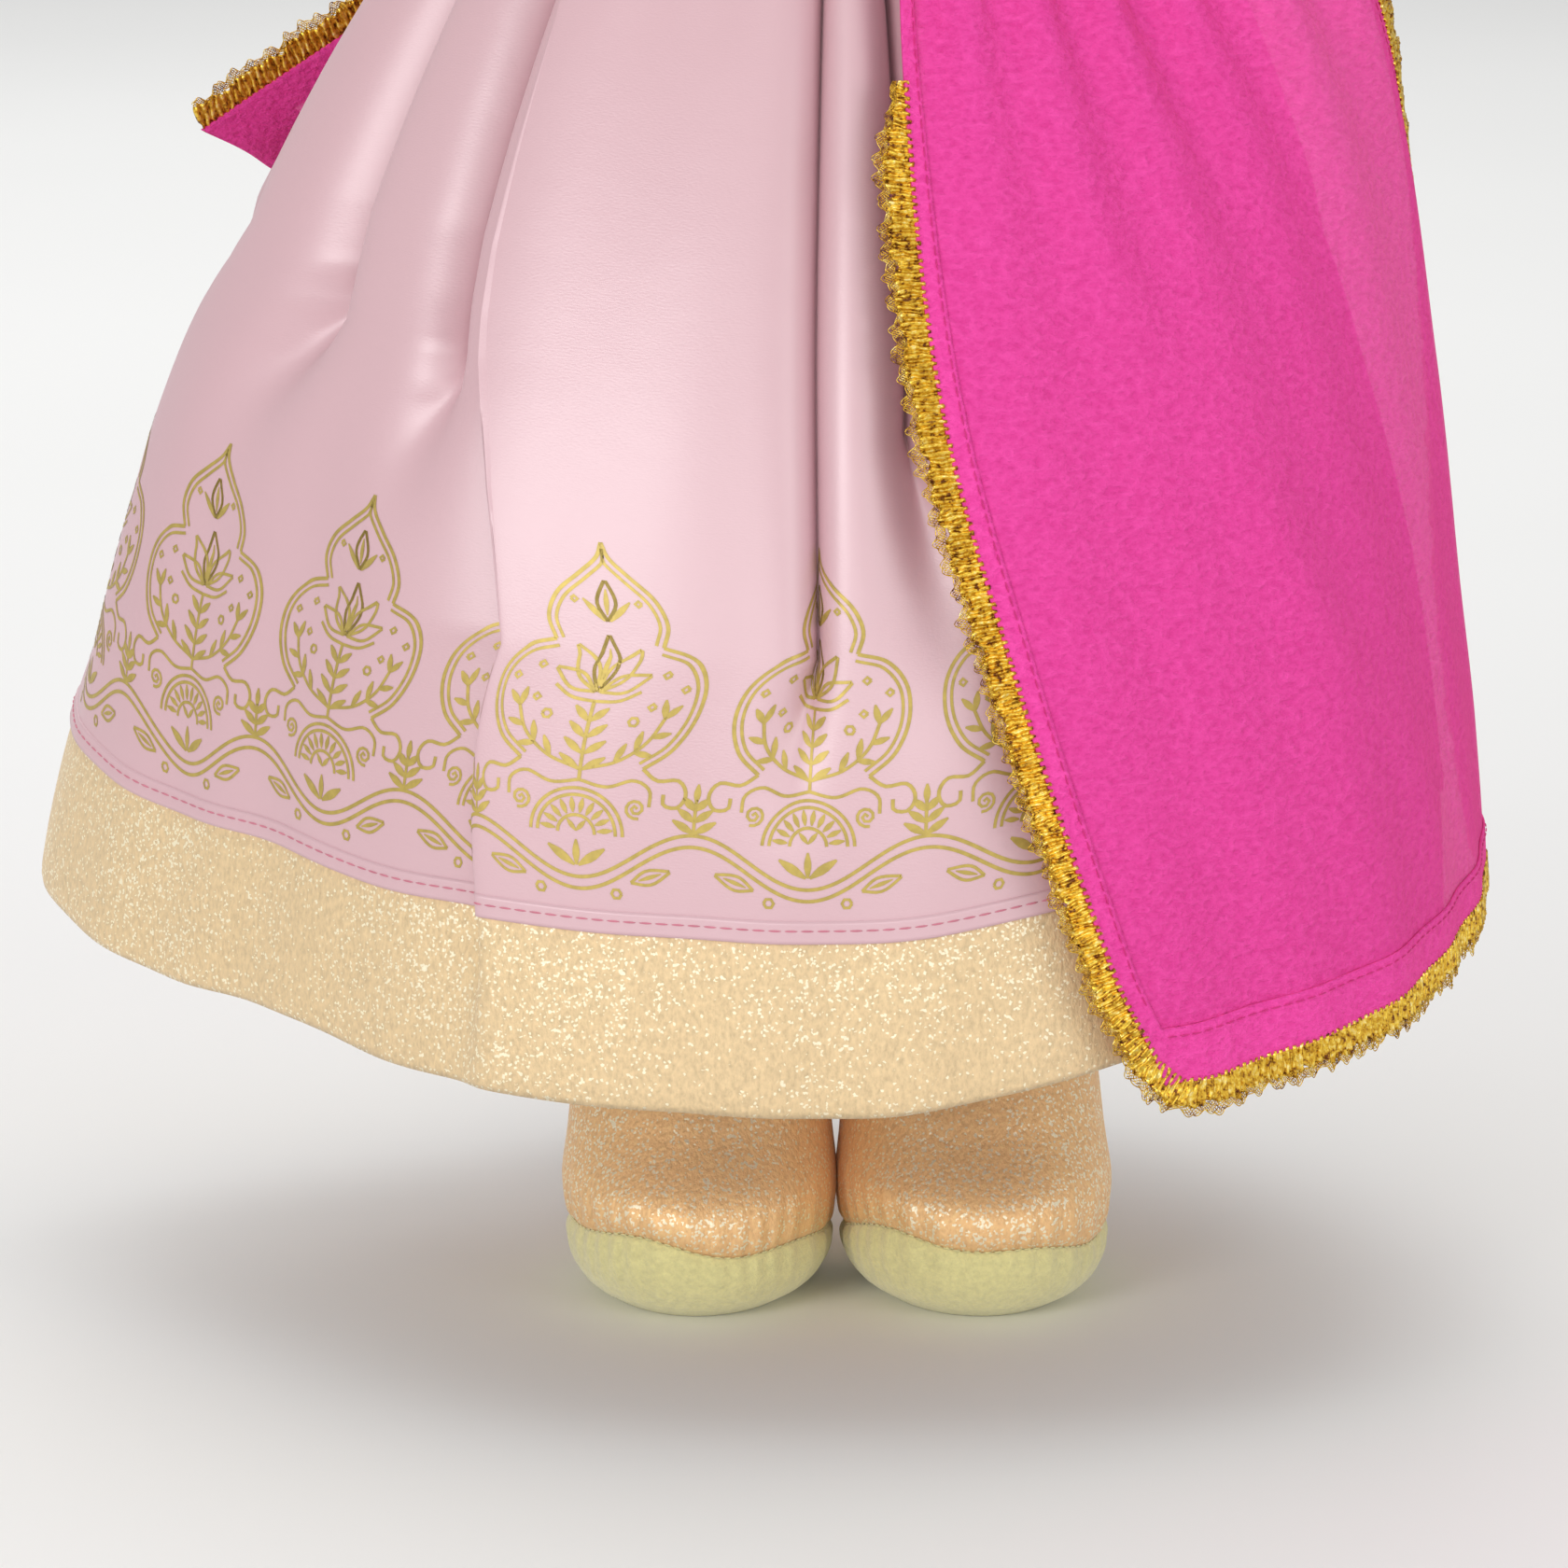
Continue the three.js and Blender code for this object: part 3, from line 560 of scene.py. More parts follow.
def fold_depth(x, taken, laps):
    """How far a fold moves the cloth outwards, x being the distance from its middle over its width."""
    if laps:
        step = (0.9 + 0.075 * taken) * np.tanh(1.4 * x) * hump(x, 0, 3.6)
        return step - 0.15 * taken * hump(x, -2, 1.9)
    return -(0.74 * taken * np.exp(-x * x / 2) - 0.045 * taken * (hump(x, 2.4, 1.3) + hump(x, -2.4, 1.3)))


def skirt(u, share, lift=0.0):
    """A point of the skirt from the cloth's own coordinates: u mm round from the front, share of its length.

    Each fold takes up cloth, which draws its neighbours together, and moves the cloth in or out."""
    u, share = np.broadcast_arrays(np.asarray(u, float), np.asarray(share, float))
    u = (u + CLOTH_WIDTH / 2) % CLOTH_WIDTH - CLOTH_WIDTH / 2
    place, out = u.copy(), np.zeros_like(u)
    total = np.full_like(u, CLOTH_WIDTH)
    for fold, at in zip(FOLDS, FOLD_AT):
        width, laps = fold[1], fold[5]
        taken = fold_taken(fold, share)
        before = 0.5 * (1 + erf((u - at) / width / math.sqrt(2)))
        start = 0.5 * (1 + erf(-at / width / math.sqrt(2)))
        place -= taken * (before - start)
        total -= taken
        out += fold_depth(cloth_gap(u, at) / width, taken, laps)
    arc = (place / total * HEM_ARC[-1] + ZERO_ARC) % HEM_ARC[-1]
    angle = np.interp(arc, HEM_ARC, ANGLES)
    around = 2 * np.pi * u / CLOTH_WIDTH
    gathers = 1 - smooth(share, 0.0, 0.30)
    out += gathers * 1.3 * (np.cos(64 * around + 1.2 * np.sin(7 * around)) - 0.6)
    out += 0.35 * smooth(share, 0.1, 0.3) * np.sin(23 * around + 5 * share + 1.5 * np.sin(5 * around))
    r = lookup(R_TABLE, angle, share) + out * smooth(share, -0.02, 0.06)
    z = lookup(Z_TABLE, angle, share)
    slope = lookup(R_STEP, angle, share) / np.maximum(-lookup(Z_STEP, angle, share), 0.2)
    away = 1 / np.hypot(1, slope)
    a = np.radians(angle)
    r = r + lift * away
    return np.stack([r * np.sin(a), -r * np.cos(a), z + lift * away * slope], -1)


CLOTH_COLS = 760


def cloth_rows(low, high, rows, lift=0.0):
    u = np.linspace(-CLOTH_WIDTH / 2, CLOTH_WIDTH / 2, CLOTH_COLS, endpoint=False)[None, :]
    share = np.linspace(low, high, rows)[:, None]
    return skirt(u, share, lift)


def cloth_uv(rows):
    """UVs in metres of cloth, for a shell made by cloth() with wrap_u."""
    u = np.tile(np.linspace(0, CLOTH_WIDTH * MM, CLOTH_COLS, endpoint=False), rows * 2)
    v = np.linspace(0, 0.2, rows)
    return np.stack([u, np.repeat(np.concatenate([v, v[::-1]]), CLOTH_COLS)], -1)


EDGE_SHARE = SATIN_SHARE + 6.2 / SKIRT_LENGTH  # the satin's edge laps over the band
SATIN_LIFT = 0.5  # the satin lies this far outside the band
satin_rows = cloth_rows(0, EDGE_SHARE, 120, SATIN_LIFT)
batch = Batch()
cloth(batch, satin_rows, 0.45, wrap_u=True)
skirt_obj = batch.build("skirt_cloth", satin, "torso", cloth_uv(120))
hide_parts("skirt")

# the turned-under hem of the satin: a thicker fold along its lower edge
TURNING = 3.4
batch = Batch()
fold_rows = cloth_rows(EDGE_SHARE - TURNING / SKIRT_LENGTH, EDGE_SHARE + 0.15 / SKIRT_LENGTH, 7,
                       SATIN_LIFT + 0.22)
cloth(batch, fold_rows, 0.8, wrap_u=True)
fold_obj = batch.build("skirt_turned_edge", satin, "torso", cloth_uv(7))

batch = Batch()
band_rows = cloth_rows(SATIN_SHARE, 1 + HEM_DROP / SKIRT_LENGTH, 30, 0.0)
band_rows[-2:] -= grid_normals(band_rows, True)[-2:] * np.array([0.1, 0.45])[:, None, None]
cloth(batch, band_rows, 0.9, wrap_u=True)
band_obj = batch.build("skirt_hem_cloth", gold_cloth, "torso", cloth_uv(30))
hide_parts("skirt_hem_band")


# ---------------------------------------------------------------- stitches
def stitches(batch, path, pitch, length, radius):
    """Short raised threads end to end along a path."""
    path = np.asarray(path, float)
    arc = arc_length(path)
    for start in np.arange(pitch * 0.2, arc[-1] - length, pitch):
        p = points_at(np.linspace(start, start + length, 5), arc, path)
        tube(batch, p, radius * np.array([0.35, 0.9, 1, 0.9, 0.35]), 5)


u_line = np.linspace(-CLOTH_WIDTH / 2, CLOTH_WIDTH / 2, 2400)
STITCH_LINE = 1.9  # height of the top-stitching above the satin's edge
batch = Batch()
stitches(batch, skirt(u_line, EDGE_SHARE - STITCH_LINE / SKIRT_LENGTH, SATIN_LIFT + 0.26), 2.5, 1.9, 0.16)
stitch_obj = batch.build("hem_topstitch", pink_thread, "torso")


# ---------------------------------------------------------------- the gold print
def mirrored(p):
    return np.asarray(p) * np.array([-1, 1])


def offset_line(p, gap):
    t = unit(np.gradient(p, axis=0))
    return p + np.stack([-t[:, 1], t[:, 0]], -1) * gap


def berry(cx, cy, size, count=12):
    a = np.linspace(0, 2 * np.pi, count)
    return np.stack([cx + size * np.cos(a), cy + size * np.sin(a)], -1)


def spiral(cx, cy, size, turns):
    a = np.linspace(0, 2 * np.pi * turns, int(18 * turns))
    rad = size * (0.15 + 0.85 * a / a[-1])
    return np.stack([cx + rad * np.cos(a), cy + rad * np.sin(a)], -1)


def pointed(base, tip, width):
    """Outline of a pointed petal."""
    base, tip = np.asarray(base, float), np.asarray(tip, float)
    d = tip - base
    n = np.array([-d[1], d[0]]) / np.linalg.norm(d) * width / 2
    side = curve([base, base + 0.45 * d + n, tip], 9)
    other = curve([tip, base + 0.45 * d - n, base], 9)
    return np.concatenate([side, other[1:]])


def motif_strokes():
    """Strokes (points, width) and filled leaves (base, tip, width) of one repeat, from its axis and foot."""
    lines, leaves = [], []

    def both(p, width=0.5):
        lines.append((np.asarray(p), width))
        lines.append((mirrored(p), width))

    def leaf(x0, y0, x1, y1, width):
        leaves.append((np.array([x0, y0]), np.array([x1, y1]), width))

    def leaf_pair(x0, y0, x1, y1, width):
        leaf(x0, y0, x1, y1, width)
        leaf(-x0, y0, -x1, y1, width)

    # pointed arch with two foils a side, in a double line
    for foil in ([(0, 57.3), (0.9, 54.8), (3.6, 52.0), (7.0, 48.6), (8.6, 44.6), (7.8, 41.0)],
                 [(7.8, 41.0), (12.2, 39.4), (15.2, 35.2), (15.5, 29.6), (13.4, 24.4), (9.6, 21.0)]):
        p = curve(foil, 30)
        both(p)
        inner = offset_line(p, -1.1)
        inner[:, 0] = np.maximum(inner[:, 0], 0)
        both(inner, 0.42)
    # open lotus on a leafed stem
    for deg, long, wide in ((0, 9.6, 3.4), (32, 9.0, 3.2), (64, 8.0, 2.9)):
        a = math.radians(deg)
        both(pointed((0.5 * math.sin(a), 33.0), (long * math.sin(a), 33.0 + long * math.cos(a)), wide), 0.45)
    leaf(0, 34.0, 0, 40.2, 0.8)
    both(curve([(0, 31.4), (3.6, 31.8), (6.4, 33.6)], 10), 0.45)
    lines.append((np.array([[0, 18.5], [0, 31.4]]), 0.5))
    for k in range(4):
        leaf_pair(0.15, 20.0 + 2.7 * k, 3.6 - 0.35 * k, 22.4 + 2.7 * k, 1.25)
    # bud in the arch's point
    both(pointed((0, 44.6), (0, 51.4), 2.8), 0.45)
    leaf(0, 45.6, 0, 49.8, 0.8)
    leaf_pair(0.4, 44.6, 3.4, 48.0, 1.0)
    # side sprays with round berries
    both(curve([(1.0, 20.4), (5.6, 22.0), (9.4, 25.4), (11.2, 29.8)], 18), 0.45)
    for x, y, dx, dy in ((5.0, 21.8, 1.4, 3.2), (7.8, 23.8, 0.6, 3.4), (9.8, 26.2, 2.8, 0.9),
                         (11.0, 29.4, 2.0, 2.4), (11.0, 29.4, -0.6, 3.2), (7.6, 23.6, 3.0, -0.4)):
        leaf_pair(x, y, x + dx, y + dy, 1.1)
    for x, y, size in ((6.6, 28.6, 0.75), (8.7, 31.2, 0.6), (12.6, 34.4, 0.6), (9.2, 36.6, 0.6),
                       (4.6, 47.8, 0.5)):
        both(berry(x, y, size), 0.42)
    # foot of the arch: scroll on either side of a plain half rosette
    both(curve([(9.6, 21.0), (12.0, 19.2), (15.2, 19.4), (16.6, 17.2), (15.6, 15.0), (13.4, 15.2),
                (13.2, 17.0)], 36))
    both(curve([(0.0, 18.4), (4.4, 17.6), (8.4, 19.0), (11.0, 17.6), (11.2, 14.8)], 26), 0.45)
    both(spiral(9.2, 14.4, 1.7, 1.8), 0.42)
    for reach in (7.4, 6.3, 3.0):
        a = np.linspace(0, np.pi / 2, 16)
        both(np.stack([reach * np.sin(a), 9.6 + reach * np.cos(a)], -1), 0.45)
    for k in range(5):
        a = math.radians(9 + 18 * k)
        leaf_pair(3.4 * math.sin(a), 9.6 + 3.4 * math.cos(a), 5.9 * math.sin(a), 9.6 + 5.9 * math.cos(a), 0.9)
    leaf_pair(0, 10.0, 1.5, 11.8, 0.8)
    # wave with a vine leaf in each trough, and a sprig where two repeats meet
    x = np.linspace(0, MOTIF / 2, 30)
    for rise in (0.0, 1.9):
        both(np.stack([x, 4.6 + rise - 4.0 * np.cos(2 * np.pi * x / MOTIF)], -1), 0.5)
    leaf_pair(0.3, 4.4, 4.6, 7.4, 1.5)
    leaf(0, 4.4, 0, 8.6, 1.2)
    both(pointed((8.6, 2.2), (15.0, 4.4), 2.4), 0.42)
    leaf_pair(9.8, 2.6, 13.4, 3.9, 0.7)
    both(berry(6.2, 0.2, 0.8, 16), 0.42)
    lines.append((np.array([[MOTIF / 2, 10.4], [MOTIF / 2, 17.0]]), 0.45))
    for k in range(3):
        for sx in (1, -1):
            foot = np.array([MOTIF / 2, 10.8 + 1.9 * k])
            leaves.append((foot, foot + [sx * (3.4 - 0.7 * k), 2.1], 1.3))
    leaves.append((np.array([MOTIF / 2, 15.8]), np.array([MOTIF / 2, 19.0]), 1.1))
    return lines, leaves


def resample(p, step):
    arc = arc_length(p)
    return points_at(np.linspace(0, arc[-1], max(2, int(arc[-1] / step) + 1)), arc, p)


LINE_WEIGHT = 1.2  # thickens every stroke of the print


def motif_mesh():
    """One repeat as flat quads: corner points (x, y) and faces."""
    points, faces = [], []

    def strip(middle, half):
        i = np.arange(len(middle) - 1) * 2 + sum(len(p) for p in points)
        faces.append(np.stack([i, i + 1, i + 3, i + 2], -1))
        points.append(np.stack([middle + half, middle - half], 1).reshape(-1, 2))

    lines, leaves = motif_strokes()
    for p, width in lines:
        p = resample(np.asarray(p, float), 0.75)
        t = unit(np.gradient(p, axis=0))
        strip(p, np.stack([-t[:, 1], t[:, 0]], -1) * LINE_WEIGHT * width / 2)
    for base, tip, width in leaves:
        s = np.linspace(0, 1, 6)[:, None]
        d = (tip - base) / np.linalg.norm(tip - base)
        full = np.sin(np.pi * np.clip(s, 0.06, 0.94)) ** 0.8
        strip(base + (tip - base) * s, np.array([-d[1], d[0]]) * width / 2 * full)
    return np.concatenate(points), np.concatenate(faces)


PRINT_FOOT = 5.9  # height of the print's foot above the satin's edge
PRINT_TALL = 0.935  # shortens the motif from its drawn height
PRINT_LIFT = 0.07  # the foil lies this far outside the satin
MOTIF_PHASE = -0.14  # where the first repeat's axis lies, in repeats from the front centre line
batch = Batch()
motif_points, motif_faces = motif_mesh()
for k in range(MOTIFS):
    u = motif_points[:, 0] + MOTIF * (k + MOTIF_PHASE)
    share = EDGE_SHARE - (PRINT_FOOT + PRINT_TALL * motif_points[:, 1]) / SKIRT_LENGTH
    batch.add(skirt(u, share, SATIN_LIFT + PRINT_LIFT), motif_faces[:, ::-1])
print_obj = batch.build("skirt_gold_print", print_gold, "torso")


# ---------------------------------------------------------------- stuffed shapes
TORSO = ((189, 26, 14), (193, 36, 22), (208, 43, 29), (235, 40, 28), (258, 33, 24), (275, 31.5, 22.5),
         (298, 35, 25), (317, 35.5, 24), (329, 30, 20), (337, 20, 15.5), (342, 13, 12.5), (350, 12, 12))
HEAD = ((351, 15, 14), (356, 28, 27), (366, 38, 37), (380, 44, 41.5), (395, 45.5, 43), (411, 43.5, 41.5),
        (425, 36, 35), (435, 24, 23), (441, 8, 8))
ARM = ((-101, 3, 2.5), (-99, 7, 5), (-91, 11, 7.6), (-82, 11.2, 8), (-71, 9.4, 8.8), (-50, 10.6, 10.6),
       (-25, 12, 12), (-4, 13.2, 13.2), (6, 11.5, 11.5), (12, 6, 6), (13, 3, 3))
SLEEVE = ((-36, 13.6, 13.6), (-30, 15, 15), (-12, 15.6, 15.6), (0, 15.2, 15.2), (9, 13, 13), (15, 8, 8))
LEG = ((71.6, 18.6, 18.6, 2), (100, 19.5, 19.5, 2), (140, 20.5, 20, 1), (165, 20, 17, 0.5), (178, 18, 9, 0),
       (182.5, 17, 2, 0))
FOOT = ((0, 15, 20, -5), (2.5, 19, 24.5, -5), (7, 21.6, 28, -5), (13, 22, 29, -4.5), (21, 22, 27.5, -3.5),
        (31, 21.6, 23.5, -0.5), (44, 20.4, 20.4, 2), (71, 18.8, 18.8, 2))


def girth(levels, z):
    """Half width, half depth and centre y at a height, smooth between the levels."""
    rows = np.asarray(levels, float)
    if rows.shape[1] < 4:
        rows = np.column_stack([rows, np.zeros(len(rows))])
    slope = np.gradient(rows[:, 1:], rows[:, 0], axis=0)
    slope[1:-1] = (rows[2:, 1:] - rows[:-2, 1:]) / (rows[2:, :1] - rows[:-2, :1])
    z = np.clip(np.asarray(z, float), rows[0, 0], rows[-1, 0])
    i = np.clip(np.searchsorted(rows[:, 0], z, "right") - 1, 0, len(rows) - 2)
    gap = rows[i + 1, 0] - rows[i, 0]
    s = ((z - rows[i, 0]) / gap)[..., None]
    gap = gap[..., None]
    low, high = rows[i, 1:], rows[i + 1, 1:]
    return ((2 * s**3 - 3 * s**2 + 1) * low + (s**3 - 2 * s**2 + s) * slope[i] * gap
            + (3 * s**2 - 2 * s**3) * high + (s**3 - s**2) * slope[i + 1] * gap)


def eased(low, high, rows):
    return low + (high - low) * (1 - np.cos(np.linspace(0, math.pi, rows))) / 2


def oval_grid(levels, zs, cols, grow=0.0, push=None):
    """Rings round the levels; push(angle, z) moves each point out."""
    a = ring_angles(cols)[None, :]
    z = np.broadcast_to(np.asarray(zs, float)[:, None], (len(zs), cols))
    g = girth(levels, z)
    out = grow + (push(a, z) if push else 0)
    return np.stack([(g[..., 0] + out) * np.cos(a), g[..., 2] + (g[..., 1] + out) * np.sin(a), z], -1)


def capped(batch, p):
    """A closed skin from rings, its ends drawn in to a small ring."""
    def end(row, towards):
        c = row.mean(0)
        return [c + (row - c) * k + (towards * (1 - k) * 0.6) for k in (0.66, 0.33, 0.02)]
    first = end(p[0], p[0].mean(0) - p[1].mean(0))
    last = end(p[-1], p[-1].mean(0) - p[-2].mean(0))
    batch.grid(np.stack(first[::-1] + list(p) + last), wrap_u=True)


def turned(batch, profile, centre, axis=(0, 0, 1), cols=32):
    """A turned piece: profile is (radius, place along the axis)."""
    a = ring_angles(cols)
    r, h = np.asarray(profile, float).T
    p = np.stack([r[:, None] * np.cos(a), r[:, None] * np.sin(a), np.repeat(h[:, None], cols, 1)], -1)
    batch.grid(p @ look_along(axis).T + np.asarray(centre, float), wrap_u=True)


def piece(name, mat, body, slot, *stands_for):
    """Names a mesh being built: returns its batch and the call that finishes it."""
    b = Batch()

    def done():
        obj = b.build(name, mat, body)
        if stands_for:
            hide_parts(*stands_for)
        return obj
    return b, done


# ---------------------------------------------------------------- torso and blouse
SIDES = (("left", 1), ("right", -1))


def side_seam(a):
    return hump(np.abs(np.sin(a)), 0, 0.03)


b, done = piece("torso_stuffed", skin, "torso", "skin_cloth", "torso")
capped(b, oval_grid(TORSO, eased(189, 350, 90), 128, -0.15,
                    lambda a, z: -0.5 * side_seam(a) + 0.3 * wobble(z / 9 + 3 * a, 3)))
done()

BLOUSE_LOW, BLOUSE_HIGH = 282.0, 334.5


def blouse_push(a, z):
    middle = hump(np.cos(a), 0, 0.13) * (np.sin(a) < 0)
    bust = 2.2 * hump(z, 311, 9) * (hump(np.sin(a), -0.86, 0.13) - 0.45 * middle)
    pull = 0.45 * np.sin(9 * a + z / 5) * hump(z, 286, 7)
    return bust + pull + 0.25 * wobble(a * 5 + z / 6, 5)


b, done = piece("blouse_cloth", satin, "torso", "satin", "blouse")
cloth(b, oval_grid(TORSO, np.linspace(BLOUSE_LOW, BLOUSE_HIGH, 60), 240, 2.1, blouse_push), 0.5, wrap_u=True)
blouse = done()
b, done = piece("blouse_hem_piping", gold_cloth, "torso", "gold_shimmer_cloth", "blouse_hem_trim")
cloth(b, oval_grid(TORSO, np.linspace(BLOUSE_LOW, BLOUSE_LOW + 5, 16), 240, 3.3,
                   lambda a, z: blouse_push(a, z) * 0.9 + 0.28 * np.cos((z - 284.5) * 2.4)), 0.7, wrap_u=True)
done()
g = girth(TORSO, np.array(BLOUSE_HIGH))
b, done = piece("neckline_lace", lace_gold, "torso", "gold_lace", "blouse_neck_trim")
a = ring_angles(420)
for phase, lift in ((0, 0.0), (math.pi, 0.0), (math.pi / 2, 0.9)):
    swing = 0.55 * np.sin(46 * a + phase)
    tube(b, np.stack([(g[0] + 1.4 + swing) * np.cos(a), (g[1] + 1.4 + swing) * np.sin(a),
                      335.7 + lift + 0.5 * np.cos(46 * a + phase)], -1), 0.42, 5, closed=True)
done()


def sash_folds(a, z):
    return 0.55 * np.cos((z - 270) * 1.75 + 0.9 * np.sin(a) + 0.5 * np.sin(3 * a)) + 0.12 * wobble(a * 40, 8)


b, done = piece("waist_sash", veil_thick, "torso", "magenta_gauze", "waistband")
cloth(b, oval_grid(TORSO, np.linspace(270.1, 280.9, 60), 240, 2.6, sash_folds), 1.0, wrap_u=True)
sash = done()

# ---------------------------------------------------------------- legs and feet
SOLE_SEAM = 10.5
LEG_SIDE = 22.5  # each leg's axis lies this far from the middle


def seam_height(a, y, side):
    """Height added to the sole's seam: over the toe, down at the heel, a little uneven."""
    uneven = 1.5 * np.sin(2 * a + 0.5) + 0.7 * np.sin(5 * a + 1.3 * side)
    return -0.13 * (y + 4) + uneven * smooth(-np.sin(a), -0.4, 0.2)


def foot_rings(z_from, z_to, rows, side, cols=220, felt_part=False):
    """Rings of the bootee or its felt sole, drawn in and puckered where the two are sewn together."""
    a = ring_angles(cols)[None, :]
    z = np.linspace(z_from, z_to, rows)[:, None] + 0 * a
    g = girth(FOOT, z)
    near = hump(z, SOLE_SEAM, 9) * np.minimum(1, z / SOLE_SEAM) * (z > 0.5)
    gap = z - SOLE_SEAM
    pinch = -0.85 * np.exp(-np.abs(gap) / 0.9)
    fade = np.exp(-np.abs(gap) / (3.2 if felt_part else 6)) * (1 - np.exp(-np.abs(gap) / 0.7))
    gather = 0.42 * np.sin(34 * a + 2 * np.sin(5 * a + side)) * fade
    if felt_part:
        shape = 0.5 * hump(gap, -5, 6) - 0.15
    else:
        shape = 0.75 * hump(gap, 8, 6) - 0.5 * hump(z, 52 + 3 * np.sin(a), 3) * (np.sin(a) < 0)
    out = pinch + gather + shape
    x = (g[..., 0] + out) * np.cos(a)
    y = g[..., 2] + (g[..., 1] + out) * np.sin(a)
    zz = z + near * seam_height(a, y, side)
    turn = np.radians(side * np.where(side > 0, 5.0, 2.0)) * (1 - smooth(z, 25, 60))
    cx = np.cos(turn) * x - np.sin(turn) * y
    cy = np.sin(turn) * x + np.cos(turn) * y
    return np.stack([cx + side * LEG_SIDE, cy, np.maximum(zz, 0.02)], -1)


for name, side in SIDES:
    body = name + "_leg"
    b, done = piece(name + "_leg_stuffed", skin, body, "skin_cloth", name + "_leg")
    p = oval_grid(LEG, eased(71.6, 182.5, 60), 96, -0.1,
                  lambda a, z: 0.25 * wobble(z / 8 + a * 2, 11) - 0.5 * side_seam(a))
    capped(b, p + [side * LEG_SIDE, 0, 0])
    done()
    b, done = piece(name + "_bootee_stuffed", gold_feet_painted_light, body, "gold_shimmer_cloth", name + "_bootee")
    capped(b, foot_rings(SOLE_SEAM, 71, 110, side))
    done()
    b, done = piece(name + "_sole_felt", felt, body, "pale_felt", name + "_sole")
    capped(b, foot_rings(0.0, SOLE_SEAM - 0.1, 30, side, felt_part=True))
    done()
    seam = foot_rings(SOLE_SEAM - 0.05, SOLE_SEAM, 2, side, 900)[1]
    out = unit((seam - seam.mean(0)) * [1, 1, 0])
    b, done = piece(name + "_sole_stitching", felt, body, "pale_felt")
    stitches(b, seam + out * 0.15, 1.7, 1.25, 0.15)
    done()

# ---------------------------------------------------------------- what the veil lies on
VEIL_Z = np.linspace(40, 336, 297)


def veil_ground():
    """Radius of what is under the veil, on a grid of heights and angles."""
    wrapped = np.concatenate([R_TABLE[:, -41:-1], R_TABLE, R_TABLE[:, 1:41]], axis=1)
    soft = np.exp(-np.linspace(-2, 2, 41) ** 2)
    soft /= soft.sum()
    rows = np.empty((len(VEIL_Z), len(ANGLES)))
    blurred = np.stack([np.convolve(r, soft, "same")[40:-40] for r in wrapped])
    hold = np.maximum(blurred, R_TABLE)
    for k in range(len(ANGLES)):
        rows[:, k] = np.interp(VEIL_Z, Z_TABLE[::-1, k], hold[::-1, k])
    g = girth(TORSO, np.maximum(VEIL_Z, WAIST_Z))
    a = np.radians(ANGLES)[None, :]
    above = 1 / np.hypot(np.sin(a) / (g[:, :1] + 2.5), np.cos(a) / (g[:, 1:2] + 2.5))
    share = smooth(VEIL_Z, WAIST_Z - 12, 284)[:, None]
    return np.maximum(rows * (1 - share) + (above + 3) * share, above)


GROUND = veil_ground()


def on_body(angle, z, off):
    """A point at an angle and height, off mm outside what the veil lies on."""
    x = (np.asarray(angle) + 180) % 360 * 2
    y = np.clip(np.asarray(z) - VEIL_Z[0], 0, len(VEIL_Z) - 1.001)
    i, j = y.astype(int), np.minimum(x.astype(int), len(ANGLES) - 2)
    fy, fx = y - i, x - j
    r = ((GROUND[i, j] * (1 - fx) + GROUND[i, j + 1] * fx) * (1 - fy)
         + (GROUND[i + 1, j] * (1 - fx) + GROUND[i + 1, j + 1] * fx) * fy) + off
    a = np.radians(angle)
    return np.stack([r * np.sin(a), -r * np.cos(a), np.asarray(z) + 0 * r], -1)


# The falls, from the shoulder down: angle and height of the inner edge, then of the outer edge.
FRONT_FALL = ((38, 324, 70, 322), (25, 300, 66, 296), (17, 268, 68, 262), (10, 232, 78, 228), (9, 196, 89, 192),
              (11, 160, 92, 156), (16, 125, 95, 122), (21.5, 92, 98, 96), (28.8, 55, 98, 75.5))
FRONT_ROOM = ((0,), (6,), (18,), (20,), (14.5,), (8,), (3.5,), (3.5,), (4.5,))  # room under its outer edge
BACK_FALL = ((118, 322, 146, 325), (128, 290, 166, 300), (140, 255, 186, 278), (152, 222, 206, 258),
             (163, 188, 222, 236), (174, 152, 238, 212), (184, 118, 254, 188))


def front_fall(t, s, lift=0.0):
    """The veil's front fall: t from the shoulder to the hem, s from the inner edge to the outer."""
    t, s = np.broadcast_arrays(np.asarray(t, float), np.asarray(s, float))
    row = along(FRONT_FALL, np.clip(t, 0, 1))
    s_in = np.clip(s, 0, 1)
    corner = smooth(t, 0.93, 1.0) * (1 - smooth(s_in, 0.0, 0.10))
    angle = row[..., 0] + (row[..., 2] - row[..., 0]) * s + 1.2 * corner
    z = row[..., 1] + (row[..., 3] - row[..., 1]) * s_in - 0.5 * np.sin(np.pi * s_in) * t + 1.6 * corner
    pleat = 3.6 * (1 - smooth(t, 0.05, 0.62)) + 0.35
    waves = pleat * (1 + np.cos(2 * np.pi * (6.5 * s_in + 0.35 * t)))
    hang = 1.5 * smooth(t, 0.25, 0.8) * (np.sin(7.5 * s_in + 2.2 * t) ** 2)
    hang = hang + 1.1 * smooth(t, 0.5, 1.0) * np.sin(9 * s_in - 2.6 * t + 0.7) * smooth(s_in, 0.25, 0.8)
    live = smooth(t, 0.3, 0.5) * (1 - smooth(t, 0.85, 1))
    diagonal = 0.8 * hump(s_in, 0.15 + 0.75 * (t - 0.35), 0.05) * live
    room = along(FRONT_ROOM, np.clip(t, 0, 1))[..., 0] * smooth(s_in, 0.5, 1)
    return on_body(angle, z, 3.0 + waves + hang + diagonal + room + lift)


